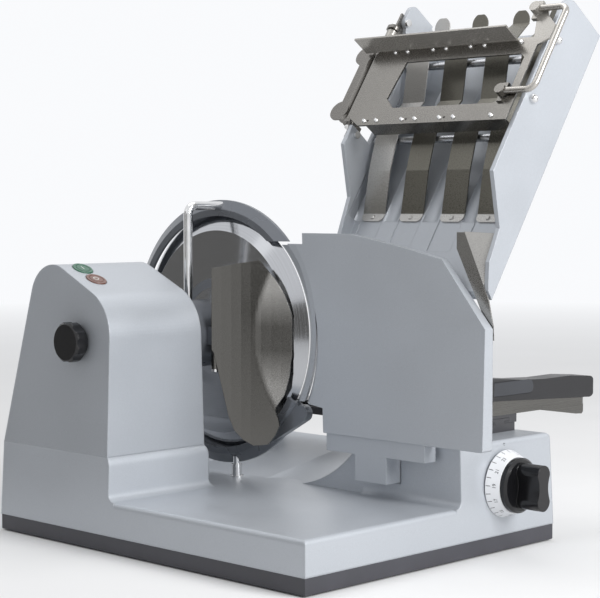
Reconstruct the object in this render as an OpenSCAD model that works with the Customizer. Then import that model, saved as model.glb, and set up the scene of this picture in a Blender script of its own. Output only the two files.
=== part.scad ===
// Vertical food slicer: a closed tower drives a round blade, and a sloped chute
// rides past it on a carriage that is pushed by hand.
// X runs along the blade's shaft, from the tower to the carriage. Y runs away from
// the operator. Z is up. The origin is under the middle of the whole machine.

/* [Base] */
// Width of the base, from the tower's side to the carriage's side
base_w = 466; // [430:1:500]
// Depth of the base, from the operator to the back
base_d = 575; // [550:1:620]
// Height of the dark rim round the foot of the base
rim_h = 20.4; // [16:0.1:26]
// Inset of the rim from the casting above it
rim_inset = 0.7; // [0.2:0.1:2]
// Width of the rim's bar
rim_bar = 22; // [20:1:28]
// Height of the tray's top
tray_h = 63.4; // [58:0.1:70]
// Height of the tower's pedestal, up to the seam
pedestal_h = 119.2; // [112:0.1:126]
// Depth of the pedestal, measured from the back of the base
pedestal_d = 227; // [224:1:240]
// Width of the pedestal
pedestal_w = 176; // [174:1:182]
// How far the pedestal's shoulder stands out past the tower
shoulder_out = 4; // [2:0.5:6]
// Height of the shoulder's curve under the seam
shoulder_h = 12; // [8:0.5:16]
// Height of the front and rear blocks
block_h = 140.3; // [134:0.1:150]
// Place across the base where the blocks and the trough start
block_x = 277.5; // [272:0.5:284]
// Depth of the front block
front_block_d = 165; // [160:1:172]
// Depth of the rear block
rear_block_d = 75; // [70:1:90]
// Radius of the hollow that runs from the front block down into the trough
trough_r = 175; // [160:1:190]
// Depth into the base where the trough is lowest
trough_y = 310; // [305:1:320]
// Rise of the trough's floor for each millimetre across the base
trough_rise_share = 0.184; // [0.15:0.001:0.2]
// Lean of the casting's outer walls for each millimetre of height
draft_share = 0.034; // [0.02:0.001:0.045]
// Thickness of the casting's walls
cast_wall = 6; // [5:0.5:8]
// Radius of the casting's top edges
edge_r = 6; // [3:0.5:8]
// Radius of the fillets where walls rise from the tray
fillet_r = 10; // [6:0.5:12]
// Thickness of the bottom cover
cover_t = 2; // [1.5:0.5:3]
// Height of the bottom cover above the rim's lower edge
cover_lift = 3; // [2.5:0.5:4]
// Diameter of a rubber foot
foot_d = 40; // [30:1:50]
// How far the feet stand out below the rim
foot_h = 1.5; // [1:0.5:3]
// Place of the feet, in from the sides of the base
foot_inset = 52; // [46:1:70]

/* [Tower] */
// Thickness of the tower's walls
tower_wall = 5; // [4:0.5:7]
// Height where the tower's front starts to bend back
tower_bend_z = 268; // [255:1:275]
// Radius of the bend from the front into the slope
tower_bend_r = 64; // [50:1:70]
// Angle of the sloped top over the front
tower_slope = 25.1; // [22:0.1:28]
// Depth into the base where the slope rounds into the back
tower_crest_y = 452; // [446:1:458]
// Radius of the crest
tower_crest_r = 46; // [38:1:50]
// Height of the tower's top
tower_h = 363; // [355:1:370]
// Lean of the tower's back for each millimetre of height
tower_back_share = 0.27; // [0.2:0.01:0.3]
// Radius of the tower's side edges
tower_edge = 7; // [4:0.5:9]
// Inset of the tower's left side from the base at the seam
tower_inset = 3.4; // [3:0.1:5]

/* [Blade] */
// Depth into the base of the blade's axis
axis_y = 414.5; // [410:0.5:420]
// Height of the blade's axis
axis_z = 262.5; // [258:0.5:268]
// Radius of the blade
blade_r = 165; // [160:1:170]
// Place across the base of the cutting edge
edge_x = 263.3; // [261:0.1:266]
// Width of the ground bevel behind the edge
bevel_w = 25; // [18:1:30]
// Depth of the bevel along the axis
bevel_d = 12.3; // [9:0.1:14]
// Radius of the blade's flat middle
blade_mid_r = 62; // [54:1:70]
// Thickness of the blade at its middle
blade_t = 5; // [4:0.5:7]
// Diameter of the hollow shaft
shaft_d = 30; // [26:1:34]
// Diameter of the bore through the shaft
shaft_bore = 13; // [12.8:0.1:16]
// Diameter of the draw rod in that bore
draw_rod_d = 12; // [10:0.5:12.5]
// Outer diameter of the two ball bearings
bearing_d = 62; // [56:1:66]
// Width of a bearing
bearing_w = 16; // [14:1:18]
// Radius of the round housing that carries the bearings
hub_r = 46; // [42:1:50]
// Place across the base where that housing ends
hub_end_x = 240; // [236:1:242]
// Number of screws that hold the blade
blade_screws_n = 4; // [3:1:6]
// Radius of the disc that covers the blade's outer side
cover_r = 134; // [125:1:138]
// Diameter of the release knob
release_d = 52; // [44:1:60]
// Length of the release knob
release_l = 21; // [16:1:26]
// Number of flutes round the release knob
release_flutes = 8; // [6:1:12]

/* [Drive] */
// Diameter of the blade's pulley
blade_pulley_d = 96; // [80:1:100]
// Diameter of the motor's pulley
motor_pulley_d = 44; // [36:1:50]
// Width of both pulleys
pulley_w = 22; // [18:1:24]
// Thickness of the belt
belt_t = 5; // [4:0.5:6]
// Diameter of the motor
motor_d = 116; // [100:1:118]
// Length of the motor's body
motor_l = 58; // [50:1:58]
// Depth into the base of the motor's shaft
motor_y = 466; // [460:1:470]
// Height of the motor's shaft
motor_z = 82; // [80:1:84]

/* [Ring guard] */
// Outer radius of the guard round the blade
ring_r = 182; // [178:1:188]
// Width of the guard along the axis
ring_w = 12; // [9:0.5:13]
// Radius of its inner lip
ring_lip_r = 160; // [156:1:162]
// Angle over the front where the guard starts
ring_start = 44; // [38:1:50]
// Angle under the front where the guard ends
ring_end = 30; // [24:1:34]
// How far the lug at its lower end stands out past the guard
ring_lug_out = 20; // [18:1:24]
// Diameter of the stay rod from the tower to the guard
stay_d = 12; // [10:0.5:14]
// Bend radius of the stay rod
stay_bend_r = 12; // [10:1:20]
// Diameter of the post under the guard
post_d = 14; // [10:0.5:18]

/* [Slice deflector] */
// Thickness of the deflector's sheet
deflector_t = 1.5; // [1:0.1:2]
// Place across the base of the deflector's hinged edge
deflector_x = 188; // [186:0.5:190]
// Depth into the base of the deflector's hinged edge
deflector_y = 358; // [356:0.5:359]
// Place across the base of the deflector's free edge
deflector_tip_x = 243; // [240:0.5:245]
// Depth into the base of the deflector's free edge
deflector_tip_y = 268; // [264:0.5:272]
// How far the sheet's bend stands off the straight line
deflector_bow = 5; // [2:0.5:8]
// Height of the deflector's lower tip
deflector_low = 116.6; // [110:0.1:125]
// Height of the deflector's upper corner
deflector_high = 364.7; // [355:0.1:368]
// Radius of the cut-out that follows the blade
deflector_cut_r = 149; // [145:1:152]
// Diameter of the hinge pin
deflector_pin_d = 6; // [5:0.5:7]

/* [Gauge plate] */
// Depth into the base of the gauge plate's front end; it stands out past the base
gauge_front = -54.5; // [-60:0.5:-48]
// Height of the gauge plate's lower edge
gauge_low = 141.3; // [140.8:0.1:146]
// Height of the gauge plate's top edge
gauge_top = 400.5; // [394:0.5:406]
// Height of the corner at the front end
gauge_corner = 289; // [280:1:300]
// Place across the base of the gauge plate's sliding face
gauge_face_x = 266; // [264:0.1:266.5]
// Thickness of the gauge plate at its lower edge
gauge_t_low = 19; // [16:0.5:20]
// Thickness of the gauge plate at its top edge
gauge_t_top = 8; // [6:0.5:10]
// Radius of the cut-out round the blade
gauge_cut_r = 178; // [174:1:182]
// Greatest slice thickness
slice_max = 24; // [15:1:25]
// Full turn of the thickness knob in degrees
dial_turn = 345; // [300:1:345]
// Depth of the crossbar of the T-shaped arm, along Y
arm_bar_d = 167; // [150:1:170]
// Front end of the crossbar
arm_bar_y = 38; // [36:1:50]
// Height of the crossbar
arm_bar_h = 22.5; // [18:0.5:26]
// Front face of the arm's stem
stem_y = 101.6; // [98:0.1:106]
// Width of the arm's stem
stem_w = 53.4; // [48:0.1:58]
// Height of the lower face of the stem
stem_z = 84.7; // [82:0.1:88]
// Diameter of the main guide rod in the block
guide_d = 20; // [18:0.5:22]
// Diameter of the steady rod below it
steady_d = 10; // [8:0.5:12]

/* [Thickness dial] */
// Place across the base of the dial's axis
dial_x = 365; // [364:1:372]
// Height of the dial's axis
dial_z = 85; // [84:0.5:87]
// Diameter of the white scale's cone at the block
scale_d = 86; // [80:1:92]
// Depth of the white scale's cone
scale_t = 17; // [14:0.5:20]
// Diameter of the knob's flange
knob_flange_d = 70; // [60:1:76]
// Thickness of the knob's flange
knob_flange_t = 9; // [6:0.5:12]
// Length of the knob's grip from the flange
knob_wing_l = 33; // [28:1:36]
// Height of the grip bar
knob_wing_h = 58; // [48:1:62]
// Thickness of the grip bar
knob_wing_t = 25; // [18:1:30]
// Diameter of the dial's spindle
spindle_d = 14; // [10:0.5:15]
// Radius where the scroll groove starts
scroll_r = 12; // [11.5:0.5:14]
// Diameter of the pin in the scroll groove
follower_d = 8; // [7:0.5:8]

/* [Carriage] */
// Width of the guide rail over the trough
rail_w = 64; // [60:1:70]
// Place across the base of the rail's left side
rail_x = 385; // [382:0.5:388]
// Height of the rail's bar
rail_h = 10.7; // [9:0.1:13]
// Front end of the rail
rail_front = 51.5; // [46:0.5:56]
// Length of the rail
rail_l = 508; // [500:1:512]
// Length of the carriage's travel
travel = 290; // [200:1:295]
// Width of the carriage shoe
shoe_w = 72; // [70:1:78]
// Height of the carriage shoe
shoe_h = 11; // [10:0.1:14]
// Length of the carriage shoe
shoe_l = 200; // [180:1:205]
// Where the handle's plate ends at the right
handle_end_x = 612; // [560:1:640]
// Thickness of the handle's plate at its left end
handle_t_left = 20; // [16:0.5:24]
// Thickness of the handle's plate at its right end
handle_t_right = 9; // [6:0.5:12]
// Depth of the handle's plate along Y
handle_d = 32; // [28:1:38]
// Height of the grip over its plate
grip_h = 29; // [26:1:34]
// How far the grip reaches past its plate
grip_over = 19; // [10:1:24]

/* [Chute] */
// Angle of the chute from the horizontal
chute_slope = 56.3; // [50:0.1:62]
// Place across the base of the chute's lower corner
chute_x = 275.4; // [275:0.1:278]
// Height of the chute's lower corner
chute_z = 323.2; // [318:0.1:330]
// Length of the chute along its slope
chute_l = 400; // [380:1:420]
// Height of the near wall over the chute's underside
wall_h = 87; // [80:1:92]
// Thickness of the chute's side walls
wall_t = 6; // [4:0.5:8]
// Outer face of the near side wall
near_y = -45; // [-48:0.5:-42]
// Inner width between the side walls
chute_w = 261; // [258:1:270]
// Thickness of the chute's floor
floor_t = 11; // [9:0.5:14]
// Radius of the grooves in the floor
groove_r = 14; // [10:0.5:15]
// Depth of the grooves in the floor
groove_d = 7.5; // [4:0.5:8]
// Where the grooves end, up the slope
groove_s = 90; // [80:1:100]
// Width of a stepped strip
strip_w = 37.5; // [30:0.5:38]
// Thickness of a stepped strip
strip_t = 2; // [1.5:0.1:3]
// Where the strips start, up the slope
strip_s = 104; // [100:1:110]
// Height of the first step's crest over the underside
strip_crest = 47; // [40:1:50]
// Diameter of the bars under the strips' crests
support_d = 10; // [8:0.5:12]
// Thickness of the bent guard at the chute's foot
end_guard_t = 1.5; // [1:0.1:2]
// Diameter of the round bolt heads on the chute
bolt_head_d = 12; // [10:0.5:14]

/* [Remnant holder] */
// Height of the holder's sheet over the chute's underside
holder_n = 90; // [89:0.5:93]
// Thickness of the holder's sheet
holder_t = 2.5; // [2:0.1:3]
// Lower fold of the holder, up the slope
holder_s = 201; // [196:1:206]
// Length of the holder between its folds
holder_l = 126; // [110:1:136]
// Depth of the lower flange, towards the floor
flange_low = 20; // [14:1:21]
// Depth of the upper flange, away from the floor
flange_high = 30; // [20:1:34]
// Distance of the hinge's axis from the far wall's outer face
hinge_off = 8; // [7.5:0.5:10]
// Height of the hinge's axis over the underside
hinge_n = 81; // [79:0.5:82]
// Diameter of the hinge rod
hinge_rod_d = 8; // [6:0.5:9]
// Outer diameter of the hinge sleeve
sleeve_d = 14; // [12:0.5:15]
// Diameter of the handle's bent rod
bail_d = 8.5; // [7:0.5:10]
// Length of a spike
spike_l = 14; // [8:1:16]
// How far the holder swings open in degrees
holder_swing = 105; // [90:1:105]

/* [Switches] */
// Diameter of a push button
button_d = 28; // [22:0.5:28]
// Distance between the two buttons
button_pitch = 31; // [30:0.5:36]
// Place across the base of the buttons
button_x = 43; // [40:1:60]
// Travel of a push button
button_travel = 2.5; // [1:0.5:3]
// Diameter of the power inlet's nut
inlet_d = 26; // [20:1:30]

/* [Hidden] */
$fn = 64;
// Gap between pieces that pass without touching
gap = 0.3;
// Radial clearance of a shaft in its bore
run = 0.05;
// Overrun of a cut
over = 1;
// Steps of a rounded edge
round_steps = 6;

function mix(a, b, share) = a + (b - a) * share;
function arc(c, r, a0, a1, n = round_steps) =
    [for (i = [0 : n]) c + r * [cos(mix(a0, a1, i / n)), sin(mix(a0, a1, i / n))]];
function lean(z) = draft_share * (z - rim_h);

// Tower: outer width at the seam and its section along the shaft
tower_x0 = tower_inset;
tower_x1 = pedestal_w - shoulder_out - lean(pedestal_h);
tower_y0 = base_d - pedestal_d + shoulder_out;
tower_y1 = base_d - lean(pedestal_h);
bend_y = tower_y0 + tower_bend_r;
slope_y0 = bend_y - tower_bend_r * sin(tower_slope);
slope_z0 = tower_bend_z + tower_bend_r * cos(tower_slope);
slope_z1 = slope_z0 + (tower_crest_y - slope_y0) * tan(tower_slope);
crest_c = [tower_crest_y, slope_z1]
    + tower_crest_r * [sin(tower_slope), -cos(tower_slope)];
back_angle = atan(tower_back_share);
back_top = crest_c + tower_crest_r * [cos(back_angle), sin(back_angle)];
cavity_x0 = tower_x0 + lean(tower_h) + tower_wall;
cavity_x1 = tower_x1 - lean(tower_h) - tower_wall;

// Shaft line, from the release knob to the cover disc
release_gap_x = tower_x0 + draft_share * (axis_z - release_d / 2 - pedestal_h) - gap;
release_x = release_gap_x - release_l;
hub_flange_t = 6;
hub_flange_r = hub_r + 6;
hub_flange_x = cavity_x1 - hub_flange_t;
pulley_x = cavity_x0 + 42;
shaft_x0 = pulley_x - 4;
shaft_flange_r = hub_r - 2;
shaft_flange_t = 8;
shaft_flange_x = hub_end_x + gap;
blade_x = shaft_flange_x + shaft_flange_t;
blade_back_x = blade_x + blade_t;
cover_x = edge_x - 5;
cover_t2 = 3;
cover_boss_r = 14;
screw_r = 3;
bearing_x = [hub_flange_x + hub_flange_t + 8, hub_end_x - bearing_w - 8];

// Blade section
bevel_x = edge_x - bevel_d;
bevel_r = blade_r - bevel_w;
recess_r = cover_r + 3;
recess_x = cover_x - gap;

// Hinge pin of the deflector
defl_vec = [deflector_tip_x - deflector_x, deflector_tip_y - deflector_y];
defl_l = norm(defl_vec);
defl_angle = atan2(defl_vec[1], defl_vec[0]);
knuckle_r = deflector_pin_d / 2 + 2.2;
pin_off = knuckle_r + 0.8;
pin_in = 3;
pin_x = deflector_x + pin_in * cos(defl_angle) - pin_off * sin(defl_angle);
pin_y = deflector_y + pin_in * sin(defl_angle) + pin_off * cos(defl_angle);

// Gauge arm and its slide block
block_in_x = block_x + cast_wall;
arm_x = gauge_face_x - 16;
arm_t = 21;
stem_h = gauge_low - arm_bar_h - stem_z;
stem_x1 = dial_x + 33;
slide_x0 = dial_x - 47;
slide_x1 = stem_x1;
guide_y = stem_y + stem_w / 2;
guide_z = stem_z - guide_d / 2 - 12;
steady_z = guide_z - guide_d / 2 - steady_d / 2 - 10;
cam_r = 44;
cam_t = 14;
cam_groove = 8;
cam_y = stem_y - 44;
follower_x = dial_x - scroll_r;
follower_y = cam_y + cam_t - cam_groove + over;
lug_t = 8;

// Dial
dial_y = lean(dial_z - scale_d / 2);
knob_y = dial_y - gap - scale_t;

// Rail and carriage
rail_top = block_h + rail_h;
head_w = rail_w - 24;
neck_w = head_w - 20;
neck_h = 3;
head_h = 4;
shoe_x = rail_x + rail_w / 2 - shoe_w / 2;
shoe_z = rail_top + gap;
shoe_top = shoe_z + shoe_h;
handle_x0 = shoe_x + 19;
grip_x1 = handle_end_x + grip_over;

// Chute: inner faces of its walls
near_in = near_y + wall_t;
far_in = near_in + chute_w;
far_out = far_in + wall_t;
chute_clear_x = gauge_face_x + 1.2;
hinge_y = far_out + hinge_off;

// Bail handle
bail_y = near_y - 20;

// Switch buttons on the slope
slope_mid = [tower_crest_y - 17, slope_z0 + (tower_crest_y - 17 - slope_y0) * tan(tower_slope)];

// Middle of the machine's bounding box
inlet_out = 14;
part_x0 = release_x;
part_x1 = grip_x1;
part_y0 = bail_y - bail_d / 2;
part_y1 = base_d + inlet_out;
mid_x = (part_x0 + part_x1) / 2;
mid_y = (part_y0 + part_y1) / 2;

// Puts a piece in the machine's frame
module placed() {
    translate([-mid_x, -mid_y, foot_h]) children();
}

// Extrudes an outline drawn in Y and Z along X
module along_x(x0, x1) {
    translate([x0, 0, 0]) rotate([90, 0, 90]) linear_extrude(x1 - x0) children();
}

// Extrudes an outline drawn in X and Z along Y
module along_y(y0, y1) {
    translate([0, y1, 0]) rotate([90, 0, 0]) linear_extrude(y1 - y0) children();
}

// Round bars along the three axes
module rod_x(x0, x1, d) {
    translate([x0, 0, 0]) rotate([0, 90, 0]) cylinder(d = d, h = x1 - x0);
}

module rod_y(y0, y1, d) {
    translate([0, y1, 0]) rotate([90, 0, 0]) cylinder(d = d, h = y1 - y0);
}

module rod_z(z0, z1, d) {
    translate([0, 0, z0]) cylinder(d = d, h = z1 - z0);
}

// Turns an outline of distances along X and radii about the blade's axis
module about_axis(points, angle = 360) {
    translate([0, axis_y, axis_z]) rotate([0, 90, 0]) rotate_extrude(angle = angle, $fn = 96)
        polygon([for (p = points) [p[1], p[0]]]);
}

// A cut that rounds a top edge; the body lies at +X below the corner
module edge_cut(r) {
    polygon(concat([[-over, over], [r, over]], arc([r, -r], r, 90, 180), [[-over, -r]]));
}

// A fillet in a corner between a wall on the left and a floor
module corner_fill(r) {
    polygon(concat([[-over, -over], [-over, r]], arc([r, r], r, 180, 270), [[r, -over]]));
}

// Lays a piece out in the chute's own axes: up the slope, along Y, away from the floor
module on_chute() {
    translate([chute_x, 0, chute_z]) rotate([0, -chute_slope, 0]) children();
}

// Base

screw_places = [for (sx = [-1, 1], sy = [-1, 0, 1])
    [base_w / 2 + sx * (base_w - rim_bar) / 2, base_d / 2 + sy * (base_d - rim_bar) / 2]];
foot_places = [for (sx = [-1, 1], sy = [-1, 1])
    [base_w / 2 + sx * (base_w / 2 - foot_inset), base_d / 2 + sy * (base_d / 2 - foot_inset)]];
cover_screw_d = 5;
screw_boss_d = 13;
screw_boss_h = 22;

// The axis of the trough's hollow at the side where the trough starts
trough_z = tray_h - 0.4 + trough_r;
trough_tilt = atan(trough_rise_share);

module trough_cut(r) {
    translate([block_x, trough_y, trough_z]) rotate([0, 90 - trough_tilt, 0])
        translate([0, 0, -base_w]) cylinder(r = r, h = base_w * 3, $fn = 180);
}

// Right-hand part of the base: two blocks with the sloping trough between them
module block_mass() {
    rear_y = base_d - rear_block_d;
    rise = (base_w - block_x) * trough_rise_share;
    difference() {
        along_y(-over, base_d + over)
            polygon([[block_x, 0], [base_w + over, 0], [base_w + over, block_h], [block_x, block_h]]);
        trough_cut(trough_r);
        difference() {
            along_y(trough_y, rear_y) polygon([
                [block_x - over, tray_h], [block_x, tray_h], [base_w + over * 2, tray_h + rise],
                [base_w + over * 2, block_h + over], [block_x - over, block_h + over]]);
            along_x(block_x - over, base_w + over)
                translate([rear_y, tray_h]) mirror([1, 0]) corner_fill(fillet_r * 3);
        }
    }
}

module base_envelope(inset) {
    top = block_h + over;
    intersection() {
        along_y(-over, base_d + over) polygon([
            [inset, rim_h], [base_w - inset, rim_h],
            [base_w - inset - lean(top), top], [inset + lean(top), top]]);
        along_x(-over, base_w + over) polygon([
            [inset, rim_h], [base_d - inset, rim_h],
            [base_d - inset - lean(top), top], [inset + lean(top), top]]);
    }
}

module pedestal(inset) {
    y0 = base_d - pedestal_d + inset;
    x1 = pedestal_w - inset - lean(pedestal_h);
    bow = (shoulder_h * shoulder_h + shoulder_out * shoulder_out) / (2 * shoulder_out);
    shoulder_a = asin(shoulder_h / bow);
    z1 = pedestal_h - shoulder_h;
    intersection() {
        along_x(-over, base_w / 2) polygon(concat(
            arc([y0 + bow, z1], bow, 180 - shoulder_a, 180, 4),
            arc([y0 - fillet_r, tray_h + fillet_r - inset], fillet_r, 0, -90),
            [[y0 - fillet_r, 0], [base_d + over, 0], [base_d + over, pedestal_h]]));
        along_y(0, base_d + over) polygon(concat(
            arc([x1 - bow, z1], bow, shoulder_a, 0, 4),
            arc([x1 + fillet_r, tray_h + fillet_r - inset], fillet_r, 180, 270),
            [[x1 + fillet_r, 0], [-over, 0], [-over, pedestal_h]]));
    }
}

module base_outside() {
    intersection() {
        union() {
            along_y(-over, base_d + over)
                polygon([[-over, 0], [base_w + over, 0], [base_w + over, tray_h], [-over, tray_h]]);
            pedestal(0);
            block_mass();
            // Fillets at the feet of the two blocks' left walls
            along_y(-over, front_block_d) translate([block_x, tray_h]) mirror([1, 0])
                corner_fill(fillet_r);
            along_y(base_d - rear_block_d, base_d + over) translate([block_x, tray_h])
                mirror([1, 0]) corner_fill(fillet_r);
        }
        base_envelope(0);
    }
}

module base_rounding() {
    tray_in = lean(tray_h);
    block_lean = lean(block_h);
    // Tray: left and front edges
    along_y(-over, base_d - pedestal_d - fillet_r)
        translate([tray_in, tray_h]) edge_cut(edge_r);
    along_x(-over, block_x - fillet_r) translate([tray_in, tray_h]) edge_cut(edge_r);
    // Front block: front, right and left edges
    along_x(block_x - over, base_w + over) translate([block_lean, block_h]) edge_cut(edge_r);
    along_y(-over, front_block_d + fillet_r)
        translate([base_w - block_lean, block_h]) mirror([1, 0]) edge_cut(edge_r);
    along_y(-over, front_block_d + fillet_r)
        translate([block_x, block_h]) edge_cut(edge_r / 2);
    // Rear block: back, right and left edges
    along_x(block_x - over, base_w + over)
        translate([base_d - block_lean, block_h]) mirror([1, 0]) edge_cut(edge_r);
    along_y(base_d - rear_block_d - over, base_d + over)
        translate([base_w - block_lean, block_h]) mirror([1, 0]) edge_cut(edge_r);
    along_y(base_d - rear_block_d - over, base_d + over)
        translate([block_x, block_h]) edge_cut(edge_r / 2);
}

module base_inside() {
    w = cast_wall;
    translate([w, w, rim_h - over])
        cube([base_w - 2 * w, base_d - 2 * w, tray_h - w - rim_h + over]);
    // Inside the front and rear blocks
    for (y = [[w, front_block_d - w - over], [base_d - rear_block_d + 3 * w, base_d - 2 * w]])
        translate([block_x + w, y[0], rim_h])
            cube([base_w - 3 * w - block_x, y[1] - y[0], block_h - w - rim_h]);
    // The motor's bay, open to the tower above
    translate([cavity_x0, tower_y0 + w * 2, rim_h - over])
        cube([cavity_x1 - cavity_x0, tower_y1 - tower_y0 - w * 4, pedestal_h - rim_h + 2 * over]);
}

module base_casting() color("silver") {
    difference() {
        union() {
            difference() {
                base_outside();
                base_rounding();
                base_inside();
            }
            intersection() {
                for (p = screw_places)
                    translate([p[0], p[1], rim_h]) cylinder(d = screw_boss_d, h = screw_boss_h);
                base_envelope(cast_wall / 2);
            }
            // Bearing of the dial's spindle
            translate([dial_x, 0, dial_z])
                rod_y(cast_wall / 2 + lean(dial_z), cast_wall * 3, spindle_d * 2);
        }
        for (p = screw_places)
            translate([p[0], p[1], 0]) rod_z(rim_h - over, rim_h + screw_boss_h - over,
                cover_screw_d + 2 * run);
        translate([dial_x, 0, dial_z]) rod_y(-over, cast_wall * 4, spindle_d + 2 * run);
        // Slot for the arm's stem, and seats of the two guide rods
        translate([block_x - fillet_r, stem_y - over, stem_z - over])
            cube([fillet_r * 2, stem_w + 2 * over, stem_h + 2 * over]);
        guide_seats();
        // Seat of the post under the ring guard
        translate([post_x, post_y, 0]) rod_z(tray_h - cast_wall - over, tray_h + over,
            post_d - 4 + 2 * run);
        // Cable hole of the power inlet
        translate([inlet_x, 0, inlet_z]) rod_y(base_d - cast_wall * 4, base_d + over,
            inlet_thread_d + 2 * run);
    }
}

guide_x0 = block_x + cast_wall / 2;
guide_x1 = base_w - cast_wall * 1.5;

module guide_seats() {
    translate([0, guide_y, guide_z]) rod_x(guide_x0 - run, guide_x1 + run, guide_d + 2 * run);
    translate([0, guide_y, steady_z]) rod_x(guide_x0 - run, guide_x1 + run, steady_d + 2 * run);
}

module base_rim() color("#303036") {
    difference() {
        hull() {
            translate([rim_inset, rim_inset, over])
                cube([base_w - 2 * rim_inset, base_d - 2 * rim_inset, rim_h - over]);
            translate([rim_inset * 2, rim_inset * 2, 0])
                cube([base_w - 4 * rim_inset, base_d - 4 * rim_inset, over]);
        }
        translate([rim_bar, rim_bar, -over])
            cube([base_w - 2 * rim_bar, base_d - 2 * rim_bar, rim_h + 2 * over]);
        translate([cast_wall, cast_wall, -over]) cube([base_w - 2 * cast_wall,
            base_d - 2 * cast_wall, cover_lift + cover_t + over]);
        for (p = screw_places)
            translate([p[0], p[1], 0]) rod_z(-over, rim_h + over, cover_screw_d + 2 * gap);
    }
}

module bottom_cover() color("gray") {
    inset = cast_wall + gap;
    difference() {
        translate([inset, inset, cover_lift])
            cube([base_w - 2 * inset, base_d - 2 * inset, cover_t]);
        for (p = screw_places)
            translate([p[0], p[1], 0]) rod_z(0, rim_h, cover_screw_d + 2 * gap);
        for (p = foot_places)
            translate([p[0], p[1], 0]) rod_z(0, rim_h, cover_screw_d + 2 * run);
    }
}

module cover_screws() color("silver") {
    for (p = screw_places) translate([p[0], p[1], 0]) {
        rod_z(cover_lift - cover_t, cover_lift, cover_screw_d * 2);
        rod_z(cover_lift - cover_t, rim_h + screw_boss_h - 2 * over, cover_screw_d);
    }
}

module feet() color("#222222") {
    for (p = foot_places) translate([p[0], p[1], -foot_h]) {
        rotate_extrude() polygon([[0, 0], [foot_d / 2 - over, 0], [foot_d / 2, over],
            [foot_d / 2, foot_h + cover_lift], [0, foot_h + cover_lift]]);
        cylinder(d = cover_screw_d, h = foot_h + cover_lift + cover_t);
    }
}

// Tower

module tower_profile(inset) {
    offset_y = inset / cos(back_angle);
    polygon(concat(
        [[tower_y0 + inset, pedestal_h]],
        arc([bend_y, tower_bend_z], tower_bend_r - inset, 180, 90 + tower_slope, 16),
        arc(crest_c, tower_crest_r - inset, 90 + tower_slope, back_angle, 16),
        [[tower_y1 - offset_y, pedestal_h]]));
}

module tower_shell() {
    r = tower_edge;
    top = tower_h + lean(tower_h);
    intersection() {
        along_x(-over, tower_x1 + over) tower_profile(0);
        along_y(tower_y0 - over, tower_y1 + over) polygon([
            [tower_x0, pedestal_h], [tower_x1, pedestal_h],
            [tower_x1 - draft_share * (top - pedestal_h), top],
            [tower_x0 + draft_share * (top - pedestal_h), top]]);
    }
}

module tower_housing() color("silver") {
    difference() {
        tower_shell();
        along_x(cavity_x0, cavity_x1) difference() {
            tower_profile(tower_wall);
            square([base_d, pedestal_h - over]);
        }
        translate([cavity_x0, tower_y0 + tower_wall, pedestal_h - over])
            cube([cavity_x1 - cavity_x0, tower_y1 - tower_y0 - 3 * tower_wall, 2 * over]);
        translate([0, axis_y, axis_z]) {
            rod_x(-over, cavity_x0 + over, draw_rod_d + 2 * over);
            rod_x(cavity_x1 - over, base_w / 2, 2 * (hub_r + run));
        }
        for (i = [0, 1]) on_slope(i) rod_z(-tower_wall * 3, tower_wall, button_d + 2 * gap);
    }
}

// Places a piece on the tower's slope, at button i, with Z square to the slope
module on_slope(i) {
    translate([button_x, slope_mid[0], slope_mid[1]]) rotate([tower_slope, 0, 0])
        translate([0, (i - 0.5) * button_pitch, 0]) children();
}

button_proud = 1.2;
button_h = 9;
button_rim = 1.5;

module push_button(i) {
    on_slope(i) difference() {
        union() {
            rod_z(button_proud - button_h, button_proud - button_rim, button_d);
            translate([0, 0, button_proud - button_rim])
                cylinder(d1 = button_d, d2 = button_d - button_rim, h = button_rim);
        }
        // Sunk ring round the sign
        translate([0, 0, button_proud]) rotate_extrude() translate([button_d * 0.34, 0])
            circle(d = button_rim);
    }
}

module start_button() color("green") push_button(1);

module stop_button() color("brown") push_button(0);

module switch_block() color("#303030") {
    depth = button_h - button_proud + button_travel + gap;
    block_hh = 24;
    side = button_d + 10;
    difference() {
        intersection() {
            translate([button_x, slope_mid[0], slope_mid[1]]) rotate([tower_slope, 0, 0])
                translate([-side / 2, -side / 2 - button_pitch / 2, -tower_wall - run - block_hh])
                cube([side, side + button_pitch, block_hh]);
            along_x(cavity_x0, cavity_x1) tower_profile(tower_wall + run);
        }
        for (i = [0, 1]) on_slope(i) rod_z(-depth, tower_wall, button_d + 2 * gap);
    }
}

inlet_x = pedestal_w / 2;
inlet_z = pedestal_h - 24;
inlet_thread_d = 16;
inlet_cable_d = 9;
inlet_y = base_d - lean(inlet_z);

module power_inlet() color("#202020") {
    translate([inlet_x, 0, inlet_z]) difference() {
        union() {
            translate([0, inlet_y + gap + 2 * run, 0]) rotate([-90, 0, 0])
                cylinder(d = inlet_d, h = 5, $fn = 6);
            rod_y(inlet_y - cast_wall * 2, inlet_y + 6, inlet_thread_d);
            translate([0, inlet_y + 5, 0]) rotate([-90, 0, 0])
                cylinder(d1 = inlet_d - 6, d2 = inlet_cable_d + 4, h = base_d + inlet_out - inlet_y - 5);
        }
        rod_y(inlet_y - cast_wall * 3, base_d + inlet_out + over, inlet_cable_d);
    }
}

// Drive

pulley_hub_d = shaft_d + 16;
motor_pulley_bore = 14;
motor_x = pulley_x + pulley_w + 8;
bracket_t = 5;
pulley_gap = gap;

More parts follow.
